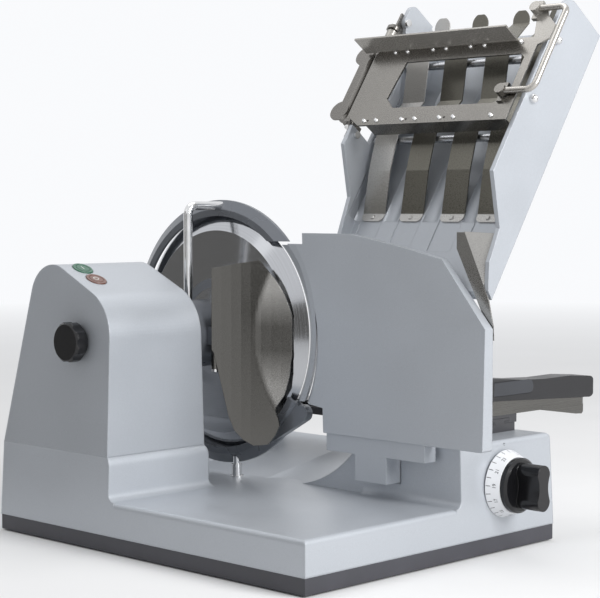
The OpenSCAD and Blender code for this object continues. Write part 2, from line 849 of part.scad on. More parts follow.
// A grooved belt pulley with its face at x = 0
module pulley(d, bore) {
    grooves = 5;
    pitch = pulley_w / (grooves + 1);
    depth = pitch / 3;
    rotate([0, 90, 0]) rotate_extrude($fn = 96) polygon(concat(
        [[bore / 2, 0], [d / 2 - depth, 0]],
        [for (i = [0 : grooves]) each [
            [d / 2 - depth, pitch * (i + 0.1)], [d / 2, pitch * (i + 0.4)],
            [d / 2, pitch * (i + 0.6)], [d / 2 - depth, pitch * (i + 0.9)]]],
        [[d / 2 - depth, pulley_w], [bore / 2, pulley_w]]));
}

module motor() color("#3a3d42") {
    bell = 10;
    translate([motor_x, motor_y, motor_z]) rotate([0, 90, 0]) difference() {
        union() {
            rotate_extrude($fn = 96) polygon([[0, 0], [motor_d / 2 - bell, 0], [motor_d / 2 - 3, bell / 2],
                [motor_d / 2 - 3, motor_l - bell / 2], [motor_d / 2 - bell, motor_l], [0, motor_l]]);
            // Cooling fins
            for (i = [0 : 23]) rotate([0, 0, 15 * i])
                translate([motor_d / 2 - 6, -1.5, bell]) cube([6, 3, motor_l - 2 * bell]);
        }
        translate([0, 0, -over]) cylinder(d = motor_pulley_bore + 2 * run, h = motor_l - bell);
    }
}

module motor_shaft() color("silver") {
    translate([0, motor_y, motor_z])
        rod_x(pulley_x - 3, motor_x + motor_l - 10 - 2 * over, motor_pulley_bore);
}

module motor_pulley() color("#808488") {
    translate([pulley_x, motor_y, motor_z]) pulley(motor_pulley_d, motor_pulley_bore);
}

module motor_bracket() color("gray") {
    y0 = tower_y0 + cast_wall * 2 + run;
    y1 = tower_y1 - cast_wall * 2 - run;
    z0 = motor_z - motor_d / 4;
    z1 = pedestal_h - cast_wall;
    x1 = motor_x - gap / 3;
    difference() {
        union() {
            translate([x1 - bracket_t, y0, z0]) cube([bracket_t, y1 - y0, z1 - z0]);
            for (y = [y0, y1 - bracket_t])
                translate([x1 - bracket_t, y, z0]) cube([bracket_t * 5, bracket_t, z1 - z0]);
            translate([x1 - bracket_t, motor_y, motor_z]) rod_x(0, bracket_t, motor_d - 12);
        }
        translate([0, motor_y, motor_z]) rod_x(0, base_w, motor_pulley_bore * 2);
        // Room for the motor's body between the two feet
        translate([x1, motor_y, motor_z]) rod_x(0, motor_l, motor_d + 2 * over);
    }
}

// Outline of a loop round the two pulleys, at distance e from their rims
function loop_points(e) =
    let (
        big = blade_pulley_d / 2 + e,
        small = motor_pulley_d / 2 + e,
        d = [motor_y - axis_y, motor_z - axis_z],
        len = norm(d),
        a = atan2(d[1], d[0]),
        b = acos((big - small) / len)
    )
    concat(
        arc([axis_y, axis_z], big, a + b, a + 360 - b, 48),
        arc([motor_y, motor_z], small, a - b, a + b, 24));

module drive_belt() color("#202020") {
    along_x(pulley_x + gap, pulley_x + pulley_w - gap) difference() {
        polygon(loop_points(belt_t));
        polygon(loop_points(pulley_gap));
    }
}

module blade_pulley() color("#808488") {
    web = 8;
    translate([pulley_x, axis_y, axis_z]) difference() {
        pulley(blade_pulley_d, shaft_d);
        for (x = [-over, pulley_w - web + 2]) translate([x, 0, 0]) rotate([0, 90, 0])
            difference() {
                cylinder(d = blade_pulley_d - 16, h = web);
                translate([0, 0, -over]) cylinder(d = pulley_hub_d, h = web + 2 * over);
            }
    }
}

module hub_housing() color("#a8adb2") {
    bore = bearing_d / 2 - 5;
    difference() {
        about_axis([[hub_flange_x, shaft_d / 2 + 4], [hub_flange_x, hub_flange_r],
            [hub_flange_x + hub_flange_t, hub_flange_r], [hub_flange_x + hub_flange_t, hub_r],
            [hub_end_x - 2, hub_r], [hub_end_x, hub_r - 2], [hub_end_x, bore],
            [hub_end_x - 8, bore], [hub_end_x - 8, bearing_d / 2 + run],
            [hub_end_x - bearing_w - 8 - run, bearing_d / 2 + run],
            [hub_end_x - bearing_w - 8 - run, bore],
            [bearing_x[0] + bearing_w + run, bore],
            [bearing_x[0] + bearing_w + run, bearing_d / 2 + run],
            [bearing_x[0] - run, bearing_d / 2 + run], [bearing_x[0] - run, bore],
            [hub_flange_x + hub_flange_t, bore],
            [hub_flange_x + hub_flange_t, shaft_d / 2 + 4]]);
        // Seat of the stay rod on top
        translate([stay_x, axis_y - stay_off, 0])
            rod_z(axis_z + hub_r - stay_seat, axis_z + hub_r + over, stay_d + 2 * run);
    }
}

stay_x = 194.5;
stay_off = 2.5;
stay_seat = 9;

module bearings() color("#c8ccd0") {
    race = 5;
    for (x = bearing_x) {
        // Outer ring, inner ring and the balls' cage between them
        about_axis([[x, bearing_d / 2 - race], [x, bearing_d / 2],
            [x + bearing_w, bearing_d / 2], [x + bearing_w, bearing_d / 2 - race]]);
        about_axis([[x + 2, shaft_d / 2 + race], [x + 2, bearing_d / 2 - race],
            [x + bearing_w - 2, bearing_d / 2 - race], [x + bearing_w - 2, shaft_d / 2 + race]]);
        about_axis([[x, shaft_d / 2 + run], [x, shaft_d / 2 + race],
            [x + bearing_w, shaft_d / 2 + race], [x + bearing_w, shaft_d / 2 + run]]);
    }
}

// Blade

screw_ring_r = shaft_flange_r - 12;
screw_head_h = 3;

module blade_screw_places(r) {
    for (i = [0 : blade_screws_n - 1])
        translate([0, axis_y, axis_z]) rotate([360 / blade_screws_n * (i + 0.5), 0, 0])
            translate([0, r, 0]) children();
}

module blade_shaft() color("silver") {
    difference() {
        about_axis([[shaft_x0, shaft_bore / 2], [shaft_x0, shaft_d / 2],
            [shaft_flange_x, shaft_d / 2], [shaft_flange_x, shaft_flange_r],
            [blade_x, shaft_flange_r], [blade_x, shaft_d / 2 + 4],
            [blade_back_x, shaft_d / 2 + 4], [blade_back_x, shaft_bore / 2]]);
        blade_screw_places(screw_ring_r) rod_x(shaft_flange_x - over, blade_x + over, 2 * (screw_r + run));
    }
}

module blade() color("#d0d4d8") {
    difference() {
        about_axis([
            [blade_x + run, shaft_d / 2 + 4 + run], [blade_x + run, blade_mid_r],
            [blade_x - 2, blade_mid_r + 12], [bevel_x - 1, bevel_r],
            [edge_x, blade_r], [edge_x + gap, blade_r], [edge_x - 1, mix(recess_r, blade_r, 0.5)],
            [edge_x - 0.5, recess_r], [recess_x, recess_r], [recess_x, recess_r - 6],
            [bevel_x + 4, recess_r - 10], [blade_x + 3, blade_mid_r + 12],
            [blade_back_x, blade_mid_r], [blade_back_x, shaft_d / 2 + 4 + run]]);
        blade_screw_places(screw_ring_r) rod_x(shaft_x0, edge_x, 2 * (screw_r + run));
    }
}

module blade_screws() color("silver") {
    blade_screw_places(screw_ring_r) {
        rod_x(shaft_flange_x + over, blade_back_x, 2 * screw_r);
        difference() {
            rod_x(blade_back_x, blade_back_x + screw_head_h - gap, 3.6 * screw_r);
            translate([blade_back_x + over, 0, 0]) rotate([0, 90, 0])
                cylinder(r = screw_r, h = screw_head_h, $fn = 6);
        }
    }
}

module blade_cover() color("#b8bcc0") {
    face_x = cover_x + cover_t2 + 1.5;
    difference() {
        about_axis([
            [cover_x, 0], [cover_x, cover_r - 4], [cover_x + 2, cover_r],
            [cover_x + 3, cover_r], [face_x, cover_r - 5], [face_x, 30],
            [face_x - 1, 24], [face_x - 1, 0]]);
        translate([0, axis_y, axis_z]) rod_x(cover_x - over, cover_x + cover_t2,
            draw_rod_d + 2 * run);
    }
}

module draw_rod() color("silver") {
    translate([0, axis_y, axis_z])
        rod_x(release_gap_x - release_l / 2, cover_x + cover_t2 - run, draw_rod_d);
}

module release_knob() color("#141414") {
    flute_r = release_d / 4;
    difference() {
        about_axis([[release_x, 0], [release_x, release_d / 2 - 3],
            [release_x + 3, release_d / 2], [release_gap_x - 6, release_d / 2],
            [release_gap_x - 3, release_d / 2 - 3], [release_gap_x, release_d / 2 - 5],
            [release_gap_x, 0]]);
        translate([0, axis_y, axis_z]) {
            for (i = [0 : release_flutes - 1]) rotate([360 / release_flutes * i, 0, 0])
                translate([0, release_d / 2 + flute_r - 2.2, 0])
                    rod_x(release_x - over, release_gap_x + over, 2 * flute_r);
            rod_x(release_gap_x - release_l / 2, release_gap_x + over, draw_rod_d + 2 * run);
        }
    }
}

// Ring guard

ring_x0 = edge_x - 1.3 - ring_w;
ring_x1 = ring_x0 + ring_w;
ring_gap_r = blade_r + 3.5;
lip_t = 4;
lug_r = 11;
lug_c = [mix(axis_y - ring_r - ring_lug_out + lug_r, axis_y, 0.155), axis_z - 0.55 * ring_r];
post_x = ring_x0 + ring_w * 0.6;
post_y = axis_y - 31.5;

// A wedge that keeps the angles from a to b, measured from -Y upwards
module sector(a, b, r) {
    polygon(concat([[axis_y, axis_z]],
        [for (i = [0 : 12]) [axis_y, axis_z] + r * 2 * [-cos(mix(a, b, i / 12)), sin(mix(a, b, i / 12))]]));
}

module ring_guard() color("#b8bcc0") {
    difference() {
        union() {
            difference() {
                about_axis([[ring_x0, ring_lip_r], [ring_x0, ring_r - 13], [ring_x0 + 8, ring_r],
                    [ring_x1, ring_r], [ring_x1, ring_gap_r], [ring_x0 + lip_t, ring_gap_r],
                    [ring_x0 + lip_t, ring_lip_r]]);
                along_x(ring_x0 - over, ring_x1 + over) union() {
                    sector(-ring_end, ring_start, ring_r);
                    // The upper end is cut level
                    translate([axis_y - 2 * ring_r, axis_z])
                        square([1.5 * ring_r, ring_r * sin(ring_start)]);
                }
            }
            ring_lug();
        }
        // Seats of the stay rod and of the post
        translate([0, axis_y - stay_off, stay_z]) rod_x(ring_x0 - over, ring_x0 + stay_in, stay_d + 2 * run);
        translate([post_x, post_y, 0]) rod_z(tray_h, post_top, post_d - 4 + 2 * run);
    }
}

module ring_lug() {
    difference() {
        along_x(ring_x0 + 1, ring_x1) difference() {
            union() {
                translate(lug_c) circle(r = lug_r);
                polygon([lug_c + lug_r * [sin(30), cos(30)], lug_c - lug_r * [sin(30), cos(30)],
                    [axis_y - (ring_r - 4) * cos(56), axis_z - (ring_r - 4) * sin(56)],
                    [axis_y - (ring_r - 4) * cos(ring_end), axis_z - (ring_r - 4) * sin(ring_end)]]);
            }
            translate([axis_y, axis_z]) circle(r = ring_gap_r + 4, $fn = 96);
        }
    }
}

stay_z = axis_z + ring_r - 8;
stay_in = 6;
post_top = axis_z - sqrt(pow(ring_gap_r + 4, 2) - pow(axis_y - post_y, 2));

module ring_stay() color("silver") {
    low = axis_z + hub_r - stay_seat + run;
    translate([0, axis_y - stay_off, 0]) {
        translate([stay_x, 0, 0]) rod_z(low, stay_z - stay_bend_r, stay_d);
        translate([stay_x + stay_bend_r, 0, stay_z - stay_bend_r]) rotate([90, 0, 0])
            rotate([0, 0, 90]) rotate_extrude(angle = 90) translate([stay_bend_r, 0]) circle(d = stay_d);
        translate([0, 0, stay_z]) rod_x(stay_x + stay_bend_r, ring_x0 + stay_in - run, stay_d);
    }
}

module ring_post() color("silver") {
    shoulder_z = axis_z - sqrt(pow(ring_r, 2) - pow(axis_y - post_y, 2));
    translate([post_x, post_y, 0]) {
        rod_z(tray_h - cast_wall, post_top - over, post_d - 4);
        rod_z(tray_h, shoulder_z - 2 * over, post_d);
        rod_z(tray_h, tray_h + 2, post_d + 5);
    }
}

// Slice deflector

lug_low = axis_z - 12;
lug_high = axis_z + 12;

// The deflector's bent sheet seen from above, as a strip of even thickness
module deflector_plan() {
    t = deflector_t / 2;
    n = [-defl_vec[1], defl_vec[0]] / defl_l;
    side = deflector_bow;
    mids = [for (i = [0 : 8]) [deflector_x, deflector_y] + defl_vec * (i / 8)
        + n * side * (1 - pow(abs(2 * i / 8 - 1), 1.6))];
    polygon(concat([for (p = mids) p + n * t], [for (i = [8 : -1 : 0]) mids[i] - n * t]));
}

// The deflector's outline seen along the shaft
module deflector_outline() {
    y_at = function (share) deflector_y + (deflector_tip_y - deflector_y) * share - 0.7;
    z_at = function (share) mix(deflector_low, deflector_high, share);
    r = 8;
    difference() {
        polygon(concat(
            [[deflector_y + 2, z_at(0.92)], [deflector_y, z_at(0.955)]],
            [[y_at(0.3), z_at(0.98)], [y_at(0.6), z_at(1)], [y_at(0.72), z_at(0.99)]],
            [[y_at(1.1), z_at(0.88)], [y_at(1.1), z_at(0.46)], [y_at(0.98), z_at(0.45)],
                [y_at(0.965), z_at(0.38)], [y_at(0.91), z_at(0.28)], [y_at(0.85), z_at(0.24)],
                [y_at(0.805), z_at(0.21)], [y_at(0.81), z_at(0.18)], [y_at(0.845), z_at(0.15)],
                [y_at(0.86), z_at(0.113)], [y_at(0.8), z_at(0.06)], [y_at(0.7), z_at(0.01)]],
            [[y_at(0.62), z_at(0.004)], [y_at(0.5), z_at(0)], [y_at(0.37), z_at(0.03)],
                [y_at(0.26), z_at(0.08)], [y_at(0.19), z_at(0.16)], [y_at(0.12), z_at(0.3)],
                [y_at(0.02), z_at(0.5)], [deflector_y + 2, z_at(0.53)]]));
        // The free edge keeps clear of the blade's bevel
        difference() {
            translate([0, z_at(0.45)]) square([axis_y, deflector_high]);
            translate([axis_y, axis_z]) circle(r = deflector_cut_r, $fn = 96);
        }
    }
}

module slice_deflector() color("#8c8a84") {
    difference() {
        union() {
            intersection() {
                translate([0, 0, deflector_low - over])
                    linear_extrude(deflector_high - deflector_low + 2 * over) deflector_plan();
                along_x(deflector_x - pin_in * 2, deflector_tip_x + pin_in * 2) deflector_outline();
            }
            for (z = [[lug_low - 32, lug_low - gap], [lug_high + gap, lug_high + 32]])
                translate([pin_x, pin_y, 0]) rod_z(z[0], z[1], 2 * knuckle_r);
        }
        translate([pin_x, pin_y, 0]) rod_z(deflector_low, deflector_high, deflector_pin_d + 2 * run);
        // The sheet clears the fixed lug
        translate([pin_x, pin_y, 0]) rod_z(lug_low - gap, lug_high + gap, 2 * knuckle_r - 2 * gap);
    }
}

module deflector_bracket() color("#a8adb2") {
    r = knuckle_r - 2 * gap;
    difference() {
        translate([0, 0, lug_low]) linear_extrude(lug_high - lug_low) {
            translate([pin_x, pin_y]) circle(r = r);
            translate([pin_x - r, pin_y]) square([2 * r, axis_y - hub_r + 4 - pin_y]);
        }
        translate([0, axis_y, axis_z]) rod_x(0, base_w, 2 * (hub_r + run));
        translate([pin_x, pin_y, 0]) rod_z(deflector_low, deflector_high, deflector_pin_d + 2 * run);
    }
}

module deflector_pin() color("silver") {
    translate([pin_x, pin_y, 0]) {
        rod_z(lug_low - 34, lug_high + 32, deflector_pin_d);
        rod_z(lug_high + 32 + gap, lug_high + 35, deflector_pin_d + 3);
        rod_z(lug_high + 31, lug_high + 33, deflector_pin_d);
        rod_z(lug_low - 36, lug_low - 32 - gap, deflector_pin_d + 3);
    }
}

// Gauge plate

gauge_chamfer = 5;
gauge_back_y = axis_y - 124.5;

module gauge_plate() color("#a8aeb4") {
    cut = [axis_y - 8.5, axis_z - 6.8];
    y1 = gauge_back_y;
    notch_y = axis_y - 206;
    h = gauge_top - gauge_low;
    difference() {
        intersection() {
            along_y(gauge_front - over, y1 + over) polygon([
                [gauge_face_x - gauge_t_low, gauge_low], [gauge_face_x, gauge_low],
                [gauge_face_x, gauge_top], [gauge_face_x - gauge_t_top, gauge_top],
                [gauge_face_x - mix(gauge_t_low, gauge_t_top, 0.36), mix(gauge_low, gauge_top, 0.57)]]);
            along_x(arm_x - 2 * arm_t, gauge_face_x + over) polygon([
                [gauge_front, gauge_low + 2], [gauge_front + 2, gauge_low],
                [notch_y - 1, gauge_low], [notch_y, gauge_low + over], [notch_y + 2, gauge_low + 32],
                [axis_y - 159.5, gauge_low + 37.7], [y1, gauge_low + 37.7],
                [y1, gauge_top - 16], [y1 - 1, gauge_top - 14.5],
                [axis_y - 158, gauge_top - 14.5], [axis_y - 156.5, gauge_top],
                [gauge_front + 229.5, gauge_top], [gauge_front + 225, gauge_top],
                [gauge_front + 145, gauge_top - 14], [gauge_front + 72, gauge_top - 29],
                [gauge_front, gauge_corner]]);
        }
        // Hollow round the blade, with its ground chamfer
        translate([0, cut[0], cut[1]]) {
            rod_x(arm_x - 2 * arm_t, base_w, 2 * gauge_cut_r, $fn = 120);
            translate([gauge_face_x - gauge_t_low - over, 0, 0]) rotate([0, 90, 0])
                cylinder(r1 = gauge_cut_r + gauge_chamfer + 6, r2 = gauge_cut_r, h = gauge_t_low / 2 + over, $fn = 120);
        }
    }
}

module gauge_support() color("#a0a6ac") {
    r = 4;
    difference() {
        union() {
            translate([arm_x, arm_bar_y, gauge_low - arm_bar_h]) cube([arm_t, arm_bar_d, arm_bar_h - run]);
            translate([arm_x, stem_y, stem_z]) cube([arm_t, stem_w, stem_h + over]);
            translate([arm_x + arm_t / 2, stem_y, stem_z]) cube([stem_x1 - arm_x - arm_t / 2, stem_w, stem_h - 2]);
        }
        for (x = arm_screw_xs) translate([x, guide_y, 0]) rod_z(0, gauge_low, arm_screw_d + 2 * run);
        for (y = plate_screw_ys) translate([plate_screw_x, y, 0])
            rod_z(gauge_low - arm_bar_h - over, gauge_low, arm_screw_d + 2 * run);
        for (y = plate_screw_ys) translate([plate_screw_x, y, 0])
            rod_z(gauge_low - arm_bar_h - over, plate_head_z, arm_screw_d * 1.6 + 2 * run);
    }
}

arm_screw_d = 6;
arm_screw_xs = [dial_x - 20, dial_x + 15];
plate_screw_x = gauge_face_x - gauge_t_low / 2;
plate_head_z = gauge_low - arm_bar_h * 0.8;
plate_screw_ys = [arm_bar_y + arm_bar_d * 0.12, arm_bar_y + arm_bar_d * 0.88];

module gauge_screws() color("silver") {
    for (x = arm_screw_xs) translate([x, guide_y, 0]) {
        rod_z(stem_z - 10, stem_z + stem_h - 2, arm_screw_d);
        rod_z(stem_z + stem_h - 2, stem_z + stem_h + 3, arm_screw_d * 1.6);
    }
    for (y = plate_screw_ys) translate([plate_screw_x, y, 0])
        rod_z(plate_head_z - 3, plate_head_z, arm_screw_d * 1.6);
    for (y = plate_screw_ys) translate([plate_screw_x, y, 0])
        rod_z(plate_head_z - 1, gauge_low - run, arm_screw_d);
}

module gauge_slide() color("#8f959b") {
    y0 = stem_y;
    difference() {
        union() {
            along_x(slide_x0, slide_x1) {
                translate([guide_y, guide_z]) circle(d = guide_d + 16);
                translate([guide_y, steady_z]) circle(d = steady_d + 12);
                translate([guide_y - steady_d, steady_z]) square([2 * steady_d, guide_z - steady_z]);
                translate([y0, stem_z - 14]) square([stem_w, 14 - run]);
                translate([guide_y - guide_d, guide_z]) square([2 * guide_d, stem_z - guide_z - 14 + over]);
            }
            translate([follower_x - 12, y0 - lug_t - run, stem_z - 14]) cube([24, lug_t, 26]);
            translate([follower_x - 12, y0 - lug_t - run, stem_z - 14]) cube([24, lug_t + over, 13]);
        }
        translate([0, guide_y, guide_z]) rod_x(0, base_w, guide_d + 2 * run);
        translate([0, guide_y, steady_z]) rod_x(0, base_w, steady_d + 2 * run);
        translate([follower_x, 0, dial_z]) rod_y(0, stem_y - run, follower_d + 2 * run);
        for (x = arm_screw_xs) translate([x, guide_y, 0])
            rod_z(stem_z - 11, stem_z + over, arm_screw_d + 2 * run);
    }
}

module guide_rods() color("silver") {
    translate([0, guide_y, guide_z]) rod_x(guide_x0, guide_x1, guide_d);
    translate([0, guide_y, steady_z]) rod_x(guide_x0, guide_x1, steady_d);
}

module cam_follower() color("silver") {
    translate([follower_x, 0, dial_z]) rod_y(follower_y, stem_y - 2 * run, follower_d);
}

// Thickness dial

rise = slice_max / dial_turn;
groove_half = follower_d / 2 + gap;

function scroll_at(turn, side) =
    let (r = scroll_r + rise * turn, skew = sqrt(1 + pow(rise * 180 / PI / r, 2)))
    (r + side * groove_half * skew) * [cos(180 - turn), sin(180 - turn)];

module scroll_cam() color("#9aa0a6") {
    steps = 72;
    translate([dial_x, 0, dial_z]) difference() {
        rod_y(cam_y, cam_y + cam_t, 2 * cam_r);
        rod_y(cam_y - over, cam_y + cam_t + over, spindle_d + 2 * run);
        along_y(cam_y + cam_t - cam_groove, cam_y + cam_t + over) {
            polygon(concat(
                [for (i = [0 : steps]) scroll_at(dial_turn * i / steps, 1)],
                [for (i = [steps : -1 : 0]) scroll_at(dial_turn * i / steps, -1)]));
            for (turn = [0, dial_turn])
                translate((scroll_r + rise * turn) * [cos(180 - turn), sin(180 - turn)])
                    circle(r = groove_half + gap);
        }
    }
}

module dial_spindle() color("silver") {
    translate([dial_x, 0, dial_z])
        rod_y(knob_y - knob_flange_t - knob_wing_l / 2, cam_y + cam_t - cam_groove - run, spindle_d);
}

module dial_scale() color("white") {
    translate([dial_x, 0, dial_z]) difference() {
        rotate([90, 0, 0]) translate([0, 0, gap - dial_y])
            cylinder(d1 = scale_d, d2 = knob_flange_d + 2, h = scale_t, $fn = 96);
        rod_y(knob_y - over, dial_y + over, spindle_d + 2 * run);
    }
}

module thickness_knob() color("#161616") {
    y0 = knob_y - knob_flange_t;
    rim = 3;
    w = knob_wing_t / 2;
    h = knob_wing_h / 2;
    translate([dial_x, 0, dial_z]) difference() {
        union() {
            rotate([90, 0, 0]) translate([0, 0, -knob_y]) rotate_extrude($fn = 96) polygon([
                [0, 0], [knob_flange_d / 2, 0], [knob_flange_d / 2, knob_flange_t - rim],
                [knob_flange_d / 2 - rim, knob_flange_t], [0, knob_flange_t]]);
            // Grip bar, drawn in at its waist
            along_y(y0 - knob_wing_l, y0 + rim) difference() {
                union() {
                    translate([-w, -h + w]) square([2 * w, 2 * (h - w)]);
                    for (s = [-1, 1]) translate([0, s * (h - w)]) circle(r = w);
                }
                for (s = [-1, 1]) translate([s * (w + h * 1.3 - knob_wing_t * 0.14), 0]) circle(r = h * 1.3);
            }
        }
        rod_y(y0 - knob_wing_l / 2 - run, knob_y + over, spindle_d + 2 * run);
    }
}

// Carriage

module guide_rail() color("#46464b") {
    mid = rail_x + rail_w / 2;
    slot = shoe_h / 2;
    along_y(rail_front, rail_front + rail_l) union() {
        translate([rail_x, block_h + run]) square([rail_w, rail_h - run]);
        translate([mid - neck_w / 2, block_h + rail_h / 2]) square([neck_w, rail_h / 2 + neck_h + over]);
        translate([mid - head_w / 2, rail_top + neck_h]) square([head_w, head_h]);
    }
}

module shoe_slot() {
    mid = rail_x + rail_w / 2;
    translate([mid - neck_w / 2 - gap, shoe_z - over]) square([neck_w + 2 * gap, neck_h + 2 * over]);
    translate([mid - head_w / 2 - gap, rail_top + neck_h - gap])
        square([head_w + 2 * gap, head_h + 2 * gap]);
}

pad_t = 2;
pad_w = 10;
pad_l = 40;
pad_places = [for (sx = [0, 1], sy = [0, 1])
    [sx == 0 ? rail_x + gap : rail_x + rail_w - gap - pad_w,
        rail_front + (sy == 0 ? pad_l / 4 : shoe_l - pad_l * 1.25)]];

module carriage_shoe() color("#55575c") {
    difference() {
        along_y(rail_front, rail_front + shoe_l) difference() {
            translate([shoe_x, shoe_z]) square([shoe_w, shoe_h]);
            shoe_slot();
        }
        for (p = pad_places) translate([p[0], p[1], shoe_z - over])
            cube([pad_w, pad_l, pad_t + over]);
    }
}

module glide_pads() color("#e8e8e0") {
    for (p = pad_places) translate([p[0] + run, p[1] + run, rail_top + run])
        cube([pad_w - 2 * run, pad_l - 2 * run, pad_t + gap - 2 * run]);
}

handle_y0 = rail_front;
handle_y1 = handle_y0 + handle_d;
grip_bottom0 = shoe_top + handle_t_left;
grip_bottom1 = shoe_top + handle_t_right;
grip_r = 12;

module handle_plate() color("#6a675f") {
    difference() {
        intersection() {
            along_y(handle_y0, handle_y1) polygon([[handle_x0, shoe_top + run],
                [handle_end_x, shoe_top + run], [handle_end_x, grip_bottom1],
                [handle_x0, grip_bottom0]]);
            linear_extrude(grip_bottom0 + over) {
                translate([handle_x0, handle_y0]) square([handle_end_x - handle_x0 - grip_r, handle_d]);
                translate([handle_x0, handle_y0 + grip_r])
                    square([handle_end_x - handle_x0, handle_d - 2 * grip_r]);
                for (y = [handle_y0 + grip_r, handle_y1 - grip_r])
                    translate([handle_end_x - grip_r, y]) circle(r = grip_r);
            }
        }
    }
}

// The grip's outline along its length, and its section
module grip_side() {
    r = grip_r;
    end_z = grip_bottom1 + grip_h / 2 + 0.6;
    polygon(concat(
        [[handle_x0, grip_bottom0 + run], [handle_x0, grip_bottom0 + grip_h + 1]],
        [[mix(handle_x0, grip_x1, 0.27), grip_bottom0 + grip_h - 5.2],
            [mix(handle_x0, grip_x1, 0.51), grip_bottom0 + grip_h - 7.8],
            [mix(handle_x0, grip_x1, 0.75), grip_bottom0 + grip_h - 7.4]],
        arc([grip_x1 - r, grip_bottom1 + grip_h - r], r, 80, 0),
        arc([grip_x1 - r, grip_bottom1 + r - 0.4], r, 0, -90),
        [[handle_end_x, grip_bottom1 + run]]));
}

module grip_plan() {
    r = grip_r / 3;
    polygon(concat(
        [[handle_x0, handle_y0 - 1.5], [handle_x0, handle_y1 + 1.5]],
        arc([grip_x1 - r, handle_y1 - r], r, 90, 0),
        arc([grip_x1 - r, handle_y0 + r], r, 0, -90)));
}

module handle_grip() color("#1b1b1c") {
    difference() {
        intersection() {
            along_y(handle_y0 - 2, handle_y1 + 2) grip_side();
            linear_extrude(block_h * 2) grip_plan();
            // Rounded upper and lower edges
            along_x(handle_x0 - over, grip_x1 + over) {
                c = 7;
                z1 = grip_bottom0 + grip_h + 1;
                polygon(concat(
                    arc([handle_y0 - 1.5 + c, shoe_top + c], c, 180, 270),
                    arc([handle_y1 + 1.5 - c, shoe_top + c], c, 270, 360),
                    arc([handle_y1 + 1.5 - 1.6 * c, z1 - 1.6 * c], 1.6 * c, 0, 90),
                    arc([handle_y0 - 1.5 + 1.6 * c, z1 - 1.6 * c], 1.6 * c, 90, 180)));
            }
        }
        inset_body(gap);
    }
}

inset_x1 = 488;
inset_t = 2;

// The soft panel let into the grip's front
module inset_body(grow) {
    r = grip_h * 0.31;
    z0 = grip_bottom0 + 5.5;
    along_y(handle_y0 - 2 - over, handle_y0 - 1.5 + inset_t) {
        translate([inset_x1 - r, z0 + r]) circle(r = r + grow);
        translate([handle_x0 + 4 - grow, z0 - grow]) square([inset_x1 - r - handle_x0 - 4 + grow, 2 * (r + grow)]);
    }
}

module grip_inset() color("#3c3e42") {
    intersection() {
        inset_body(0);
        translate([0, handle_y0 - 1.5 + gap, 0]) cube([base_w * 2, inset_t, block_h * 2]);
    }
}

module stop_tab() color("#4a4844") {
    along_y(handle_y0 + 4, handle_y0 + 12) polygon([
        [inset_x1 + 17, shoe_top], [handle_end_x - 2, shoe_top],
        [handle_end_x - 2, shoe_top - 11], [handle_end_x - 5, shoe_top - 14],
        [handle_end_x - 20, shoe_top - 13]]);
}

bracket_y0 = 100;
bracket_w = 100;

saddle_s = [60, 232];
saddle_t = 10;
bracket_foot_x = [shoe_x + 4, shoe_x + shoe_w - 4];

function under_chute(s) = [chute_x, chute_z] + s * [cos(chute_slope), sin(chute_slope)]
    + run * [sin(chute_slope), -cos(chute_slope)];

module bracket_side() {
    polygon([[bracket_foot_x[1], shoe_top + run], [bracket_foot_x[0], shoe_top + run],
        [bracket_foot_x[0], shoe_top + 14], [bracket_foot_x[0] - 30, shoe_top + 120],
        under_chute(saddle_s[0]), under_chute(saddle_s[1]),
        [bracket_foot_x[1] - 4, shoe_top + 190], [bracket_foot_x[1], shoe_top + 14]]);
}

// Cast arm from the shoe up to the chute's underside
module chute_bracket() color("#9aa0a6") {
    web = 12;
    mid_y = bracket_y0 + bracket_w / 2;
    difference() {
        union() {
            along_y(mid_y - web / 2, mid_y + web / 2) bracket_side();
            // Foot and saddle plates across the web
            intersection() {
                along_y(bracket_y0, bracket_y0 + bracket_w) bracket_side();
                union() {
                    translate([bracket_foot_x[0], bracket_y0, shoe_top])
                        cube([bracket_foot_x[1] - bracket_foot_x[0], bracket_w, saddle_t]);
                    on_chute() translate([saddle_s[0], bracket_y0, -saddle_t])
                        cube([saddle_s[1] - saddle_s[0], bracket_w, saddle_t]);
                }
            }
        }
        on_chute() for (s = bracket_bolt_s, y = bracket_bolt_y)
            translate([s, y, 0]) rod_z(-saddle_t - over, over, 6 + 2 * run);
    }
}

// Chute

// Strips' far edges, shares of the inner width from the near wall
strip_y_shares = [0.966, 0.714, 0.451, 0.227];
strip_ys = [for (s = strip_y_shares) near_in + s * chute_w];
groove_ys = concat([strip_ys[0] + (far_in - strip_ys[0]) / 2 - 3],
    [for (i = [0 : 2]) (strip_ys[i] - strip_w + strip_ys[i + 1]) / 2],
    [(strip_ys[3] - strip_w + near_in) / 2]);

module near_wall_outline() {
    l = chute_l;
    polygon(concat(
        [[0, 0], [l - 2, 0]],
        arc([l - 20, wall_h - 21], 19.5, 0, 90),
        [[l * 0.326, wall_h - 2.1], [l * 0.2, wall_h - 51.2], [l * 0.0885, wall_h - 57.4],
            [l * 0.0155, wall_h - 74.1]]));
}

module far_wall_outline() {
    l = chute_l;
    polygon(concat(
        [[0, 0], [l + 14, 0]],
        arc([l + 3, wall_h - 18], 12, 0, 90),
        arc([l - 12, wall_h - 16], 10, 90, 170),
        [[l * 0.828, wall_h - 41], [l * 0.51, wall_h - 41], [l * 0.518, wall_h],
            [l * 0.44, wall_h], [l * 0.312, wall_h - 49], [l * 0.198, wall_h - 59],
            [l * 0.0155, wall_h - 74.1]]));
}

